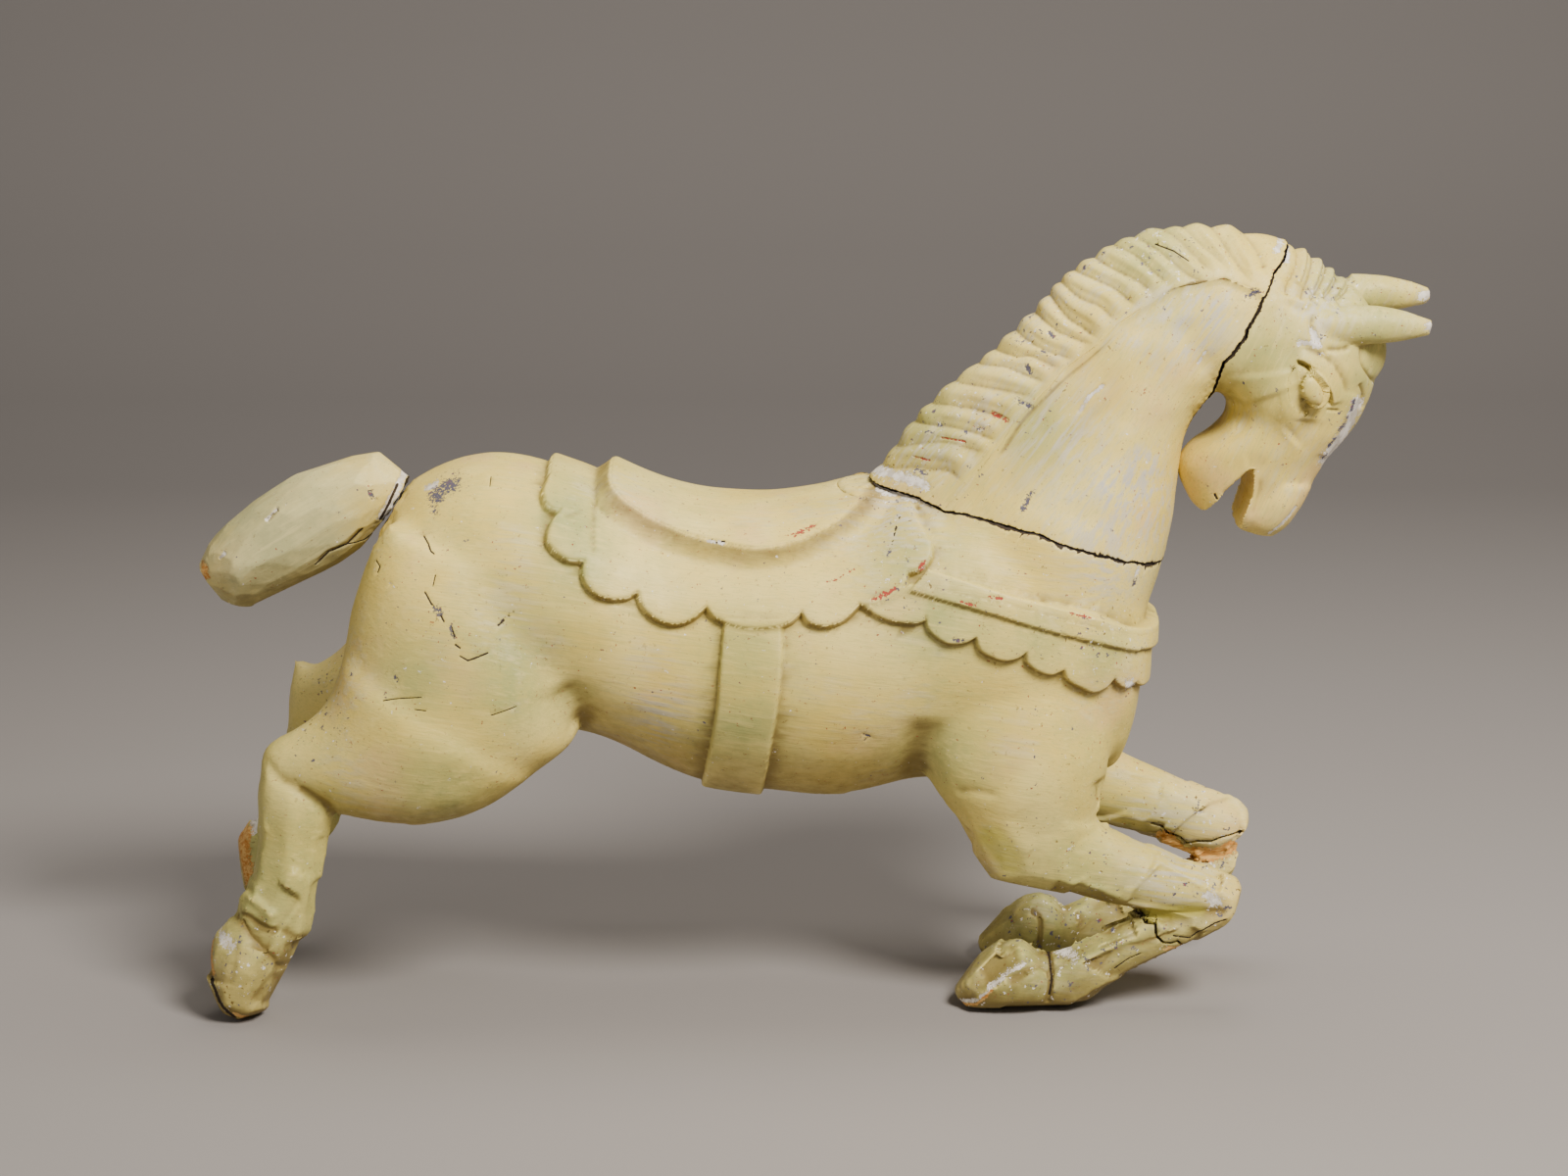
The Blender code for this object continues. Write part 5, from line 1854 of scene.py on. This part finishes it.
def trunk_losses() -> tuple[Loss, ...]:
    """Lists the places where the trunk's top paint is lost."""
    slate, gesso, red, wood, crack = Layer.SLATE, Layer.GESSO, Layer.RED, Layer.WOOD, Layer.CRACK
    return (
        Loss(slate, 0.0070, ((-0.340, 0.475), (-0.331, 0.483), (-0.322, 0.488))),
        Loss(slate, 0.0030, ((-0.338, 0.474), (-0.337, 0.465))),
        Loss(gesso, 0.0030, ((-0.349, 0.481), (-0.338, 0.486))),
        Loss(crack, 0.0008, ((-0.346, 0.447), (-0.341, 0.442), (-0.338, 0.437), (-0.335, 0.435))),
        Loss(crack, 0.0007, ((-0.333, 0.418), (-0.335, 0.409))),
        Loss(crack, 0.0010, ((-0.342, 0.404), (-0.336, 0.394), (-0.329, 0.387), (-0.325, 0.379))),
        Loss(slate, 0.0030, ((-0.334, 0.391), (-0.328, 0.386))),
        Loss(slate, 0.0020, ((-0.319, 0.375), (-0.317, 0.367))),
        Loss(crack, 0.0010, ((-0.318, 0.374), (-0.316, 0.366))),
        Loss(crack, 0.0010, ((-0.315, 0.359), (-0.311, 0.356))),
        Loss(crack, 0.0010, ((-0.311, 0.349), (-0.304, 0.345), (-0.287, 0.351))),
        Loss(crack, 0.0013, ((-0.278, 0.374), (-0.271, 0.380), (-0.265, 0.385))),
        Loss(slate, 0.0018, ((-0.275, 0.377), (-0.266, 0.384))),
        Loss(crack, 0.0007, ((-0.388, 0.426), (-0.384, 0.422), (-0.386, 0.417))),
        Loss(slate, 0.0026, ((-0.369, 0.329), (-0.368, 0.326))),
        Loss(crack, 0.0006, ((-0.380, 0.308), (-0.367, 0.310), (-0.346, 0.312))),
        Loss(crack, 0.0006, ((-0.352, 0.301), (-0.342, 0.300))),
        Loss(crack, 0.0006, ((-0.285, 0.295), (-0.275, 0.298), (-0.263, 0.302))),
        Loss(gesso, 0.0018, ((-0.374, 0.409), (-0.373, 0.410))),
        Loss(crack, 0.0006, ((-0.289, 0.493), (-0.289, 0.487))),
        Loss(gesso, 0.0022, ((-0.094, 0.442), (-0.088, 0.441), (-0.080, 0.4405))),
        Loss(crack, 0.0009, ((-0.092, 0.444), (-0.086, 0.441), (-0.079, 0.442))),
        Loss(crack, 0.0007, ((0.076, 0.460), (0.0714, 0.4479), (0.0657, 0.4328))),
        Loss(slate, 0.0016, ((0.0664, 0.4350), (0.0652, 0.4315))),
        Loss(red, 0.0007, ((0.0103, 0.4087), (0.0233, 0.4127), (0.0363, 0.4204))),
        Loss(red, 0.0018, ((-0.018, 0.447), (-0.008, 0.451), (0.002, 0.455))),
        Loss(red, 0.0026, ((0.093, 0.423), (0.098, 0.428))),
        Loss(red, 0.0024, ((0.052, 0.397), (0.065, 0.402), (0.074, 0.410))),
        Loss(red, 0.0016, ((0.155, 0.399), (0.166, 0.397))),
        Loss(red, 0.0012, ((0.128, 0.396), (0.142, 0.392))),
        Loss(red, 0.0010, ((0.225, 0.382), (0.248, 0.375))),
        Loss(slate, 0.0020, ((0.122, 0.362), (0.131, 0.360))),
        Loss(slate, 0.0016, ((0.044, 0.272), (0.050, 0.269), (0.046, 0.265))),
        Loss(gesso, 0.0055, ((0.2835, 0.3120), (0.2850, 0.3070))),
        Loss(gesso, 0.0018, ((0.2910, 0.4140), (0.2885, 0.4050))),
        Loss(slate, 0.0022, ((0.2885, 0.4040), (0.2870, 0.3970))),
        Loss(gesso, 0.0080, ((0.361, 0.112), (0.367, 0.106))),
        Loss(crack, 0.0014, ((0.291, 0.092), (0.301, 0.090), (0.303, 0.086), (0.312, 0.086), (0.313, 0.074),
                             (0.320, 0.067), (0.328, 0.066), (0.333, 0.068), (0.338, 0.063), (0.348, 0.061)),
             depth=0.0040),
        Loss(wood, 0.0035, ((0.322, 0.061), (0.334, 0.060), (0.344, 0.057))),
        Loss(crack, 0.0010, ((0.329, 0.074), (0.344, 0.071), (0.352, 0.078), (0.366, 0.087), (0.376, 0.090))),
        Loss(crack, 0.0008, ((0.276, 0.043), (0.288, 0.052), (0.299, 0.057))),
        Loss(gesso, 0.0026, ((0.137, 0.009), (0.150, 0.015), (0.163, 0.030), (0.179, 0.043), (0.193, 0.050))),
        Loss(wood, 0.0022, ((0.137, 0.006), (0.149, 0.010), (0.163, 0.026))),
        Loss(crack, 0.0012, ((0.209, 0.057), (0.217, 0.050), (0.218, 0.035), (0.216, 0.020))),
        Loss(gesso, 0.0060, ((0.222, 0.058), (0.238, 0.053))),
        Loss(wood, 0.0060, ((-0.550, 0.076), (-0.550, 0.062), (-0.546, 0.048))),
        Loss(crack, 0.0028, ((-0.545, 0.040), (-0.538, 0.022), (-0.526, 0.006))),
        Loss(gesso, 0.0075, ((-0.534, 0.080), (-0.526, 0.076))),
        Loss(wood, 0.0040, ((-0.524, 0.010), (-0.516, 0.006))),
        Loss(gesso, 0.0080, ((-0.536, 0.128), (-0.524, 0.134)), Side.FAR),
        Loss(wood, 0.0120, ((-0.546, 0.122), (-0.545, 0.100), (-0.536, 0.075)), Side.FAR),
        Loss(wood, 0.0100, ((0.335, 0.128), (0.352, 0.108), (0.385, 0.110), (0.402, 0.118)), Side.FAR,
             0.0012),
        Loss(crack, 0.0015, ((0.322, 0.143), (0.331, 0.140), (0.337, 0.132), (0.349, 0.128), (0.356, 0.121),
                             (0.366, 0.124), (0.379, 0.124), (0.388, 0.128), (0.410, 0.133)), Side.FAR,
                             0.0030),
        Loss(gesso, 0.0022, ((0.362, 0.154), (0.370, 0.153)), Side.FAR),
        Loss(Layer.MOSS, 0.0090, ((0.308, 0.093), (0.327, 0.096), (0.350, 0.099))),
        Loss(Layer.MOSS, 0.0140, ((0.160, 0.172), (0.172, 0.158), (0.178, 0.145))),
        Loss(gesso, 0.0040, ((-0.378, 0.480), (-0.384, 0.462), (-0.392, 0.446)), Side.BOTH),
        Loss(gesso, 0.0050, ((0.060, 0.478), (0.080, 0.476), (0.105, 0.470)), Side.BOTH),
    )


def neck_losses() -> tuple[Loss, ...]:
    """Lists the places where the neck's top paint is lost."""
    slate, gesso, red = Layer.SLATE, Layer.GESSO, Layer.RED
    return (
        Loss(slate, 0.0040, ((0.3850, 0.6560), (0.3920, 0.6590))),
        Loss(slate, 0.0030, ((0.1835, 0.4680), (0.1930, 0.4840))),
        Loss(gesso, 0.0050, ((0.2700, 0.7040), (0.2950, 0.7100)), Side.BOTH),
        Loss(slate, 0.0030, ((0.2460, 0.6900), (0.2500, 0.6890))),
        Loss(slate, 0.0026, ((0.2110, 0.6210), (0.2130, 0.6180))),
        Loss(slate, 0.0030, ((0.1900, 0.5910), (0.1930, 0.5870))),
        Loss(slate, 0.0024, ((0.1830, 0.5620), (0.1940, 0.5570))),
        Loss(red, 0.0026, ((0.1600, 0.5500), (0.1720, 0.5450))),
        Loss(red, 0.0012, ((0.1150, 0.5260), (0.1350, 0.5250))),
        Loss(red, 0.0012, ((0.0900, 0.5080), (0.1040, 0.5060))),
        Loss(Layer.CRACK, 0.0008, ((0.3050, 0.6980), (0.3200, 0.6930), (0.3330, 0.6850))),
        Loss(gesso, 0.0060, ((0.0560, 0.4920), (0.0800, 0.4900), (0.1000, 0.4850))),
        Loss(slate, 0.0020, ((0.0960, 0.4960), (0.1010, 0.4945))),
        Loss(gesso, 0.0026, ((0.2360, 0.5560), (0.2440, 0.5680), (0.2560, 0.5780))),
        Loss(gesso, 0.0018, ((0.3420, 0.5960), (0.3480, 0.6060))),
        Loss(gesso, 0.0040, ((0.4130, 0.6930), (0.4180, 0.6990)), Side.BOTH),
    )


def head_losses() -> tuple[Loss, ...]:
    """Lists the places where the head's top paint is lost."""
    slate, gesso = Layer.SLATE, Layer.GESSO
    return (
        Loss(gesso, 0.0060, ((0.5480, 0.6270), (0.5540, 0.6250)), Side.NEAR),
        Loss(gesso, 0.0080, ((0.5560, 0.6470), (0.5620, 0.6450)), Side.FAR),
        Loss(gesso, 0.0100, ((0.4900, 0.5560), (0.4840, 0.5380), (0.4740, 0.5200), (0.4640, 0.5020)),
             Side.BOTH),
        Loss(slate, 0.0022, ((0.4850, 0.5600), (0.4830, 0.5500)), Side.BOTH),
        Loss(slate, 0.0026, ((0.4790, 0.5430), (0.4770, 0.5360), (0.4720, 0.5300)), Side.BOTH),
        Loss(slate, 0.0022, ((0.4700, 0.5240), (0.4650, 0.5170)), Side.BOTH),
        Loss(slate, 0.0020, ((0.4640, 0.5080), (0.4610, 0.5040)), Side.BOTH),
        Loss(gesso, 0.0020, ((0.4140, 0.4360), (0.4250, 0.4460), (0.4370, 0.4610)), Side.BOTH),
        Loss(gesso, 0.0040, ((0.4240, 0.6950), (0.4210, 0.6850)), Side.NEAR),
        Loss(gesso, 0.0020, ((0.3600, 0.5860), (0.3570, 0.5780)), Side.NEAR),
        Loss(Layer.CRACK, 0.0014, ((0.3640, 0.4700), (0.3620, 0.4740)), Side.NEAR),
        Loss(gesso, 0.0040, ((0.4300, 0.6150), (0.4480, 0.6120), (0.4420, 0.6250)), Side.NEAR),
    )


def main() -> None:
    """Builds the horse block by block, then the studio."""
    logging.basicConfig(level=logging.INFO, format="%(name)s: %(message)s")
    blocks: tuple[Block, ...] = (
        Trunk(
            "carved_body", "body", "cream_paint", OldPaint("body_paint", brush_lean=-0.15, haze_share=0.25),
            trunk_losses(),
            flaky_spots=(((0.24, 0.06), 0.10), ((-0.52, 0.05), 0.06), ((0.36, 0.13), 0.06),
                         ((0.38, 0.10), 0.04),
                         ((0.07, 0.48), 0.03), ((0.25, 0.345), 0.04), ((-0.44, 0.28), 0.03),
                         ((0.08, 0.41), 0.03)),
            green_spots=(((-0.49, 0.13), 0.10), ((0.24, 0.06), 0.12), ((0.20, 0.36), 0.03),
                         ((0.26, 0.34), 0.03),
                         ((0.12, 0.38), 0.05), ((-0.22, 0.46), 0.030), ((-0.21, 0.43), 0.03),
                         ((-0.06, 0.35), 0.04),
                         ((0.08, 0.43), 0.04), ((-0.06, 0.28), 0.04), ((-0.35, 0.33), 0.04),
                         ((-0.27, 0.33), 0.05),
                         ((-0.33, 0.23), 0.05), ((0.12, 0.25), 0.05)),
            wash_spots=(((0.08, 0.47), 0.04), ((0.26, 0.42), 0.04), ((-0.14, 0.29), 0.03),
                        ((0.33, 0.13), 0.04)),
        ),
        Neck(
            "carved_neck", "neck", "cream_paint",
            OldPaint("neck_paint", green_share=0.22, brush_lean=0.95, haze_share=0.55),
            neck_losses(),
            green_spots=(((0.10, 0.53), 0.05), ((0.30, 0.69), 0.05), ((0.20, 0.54), 0.04)),
            flaky_spots=(((0.30, 0.70), 0.06), ((0.20, 0.62), 0.04), ((0.12, 0.54), 0.05),
                         ((0.07, 0.49), 0.04)),
            wash_spots=(((0.22, 0.53), 0.05), ((0.26, 0.46), 0.06), ((0.34, 0.63), 0.03),
                        ((0.30, 0.46), 0.04)),
        ),
        Head(
            "carved_head", "head", "cream_paint",
            OldPaint("head_paint", green_share=0.40, dirt_and_shade_strength=0.7, brush_lean=1.15),
            head_losses(),
            green_spots=(((0.40, 0.60), 0.05), ((0.47, 0.66), 0.04), ((0.50, 0.63), 0.05),
                         ((0.50, 0.58), 0.03)),
            flaky_spots=(((0.46, 0.66), 0.04), ((0.45, 0.615), 0.02), ((0.48, 0.54), 0.02)),
            wash_spots=(((0.45, 0.645), 0.03),),
        ),
        Tail(
            "carved_tail", "tail", "grey_cream_paint",
            OldPaint("tail_paint", green=(0.50, 0.47, 0.22), pale=(0.86, 0.74, 0.34), green_share=0.55,
                     brush_lean=0.55),
            (
                Loss(Layer.GESSO, 0.0050, ((-0.372, 0.488), (-0.380, 0.470), (-0.392, 0.450)), Side.BOTH),
                Loss(Layer.CRACK, 0.0016, ((-0.377, 0.480), (-0.385, 0.462), (-0.393, 0.448))),
                Loss(Layer.GESSO, 0.0020, ((-0.494, 0.451), (-0.484, 0.461))),
                Loss(Layer.GESSO, 0.0024, ((-0.538, 0.415), (-0.534, 0.419))),
                Loss(Layer.WOOD, 0.0060, ((-0.556, 0.404), (-0.554, 0.396)), Side.BOTH),
                Loss(Layer.CRACK, 0.0010, ((-0.452, 0.408), (-0.439, 0.421), (-0.423, 0.427),
                                           (-0.408, 0.442))),
                Loss(Layer.CRACK, 0.0010, ((-0.423, 0.427), (-0.409, 0.428), (-0.396, 0.437))),
                Loss(Layer.SLATE, 0.0022, ((-0.400, 0.476), (-0.398, 0.470))),
            ),
            green_spots=(((-0.47, 0.43), 0.09),),
        ),
    )
    for block in blocks:
        block.build()
    Studio().build()


if __name__ == "__main__":
    main()
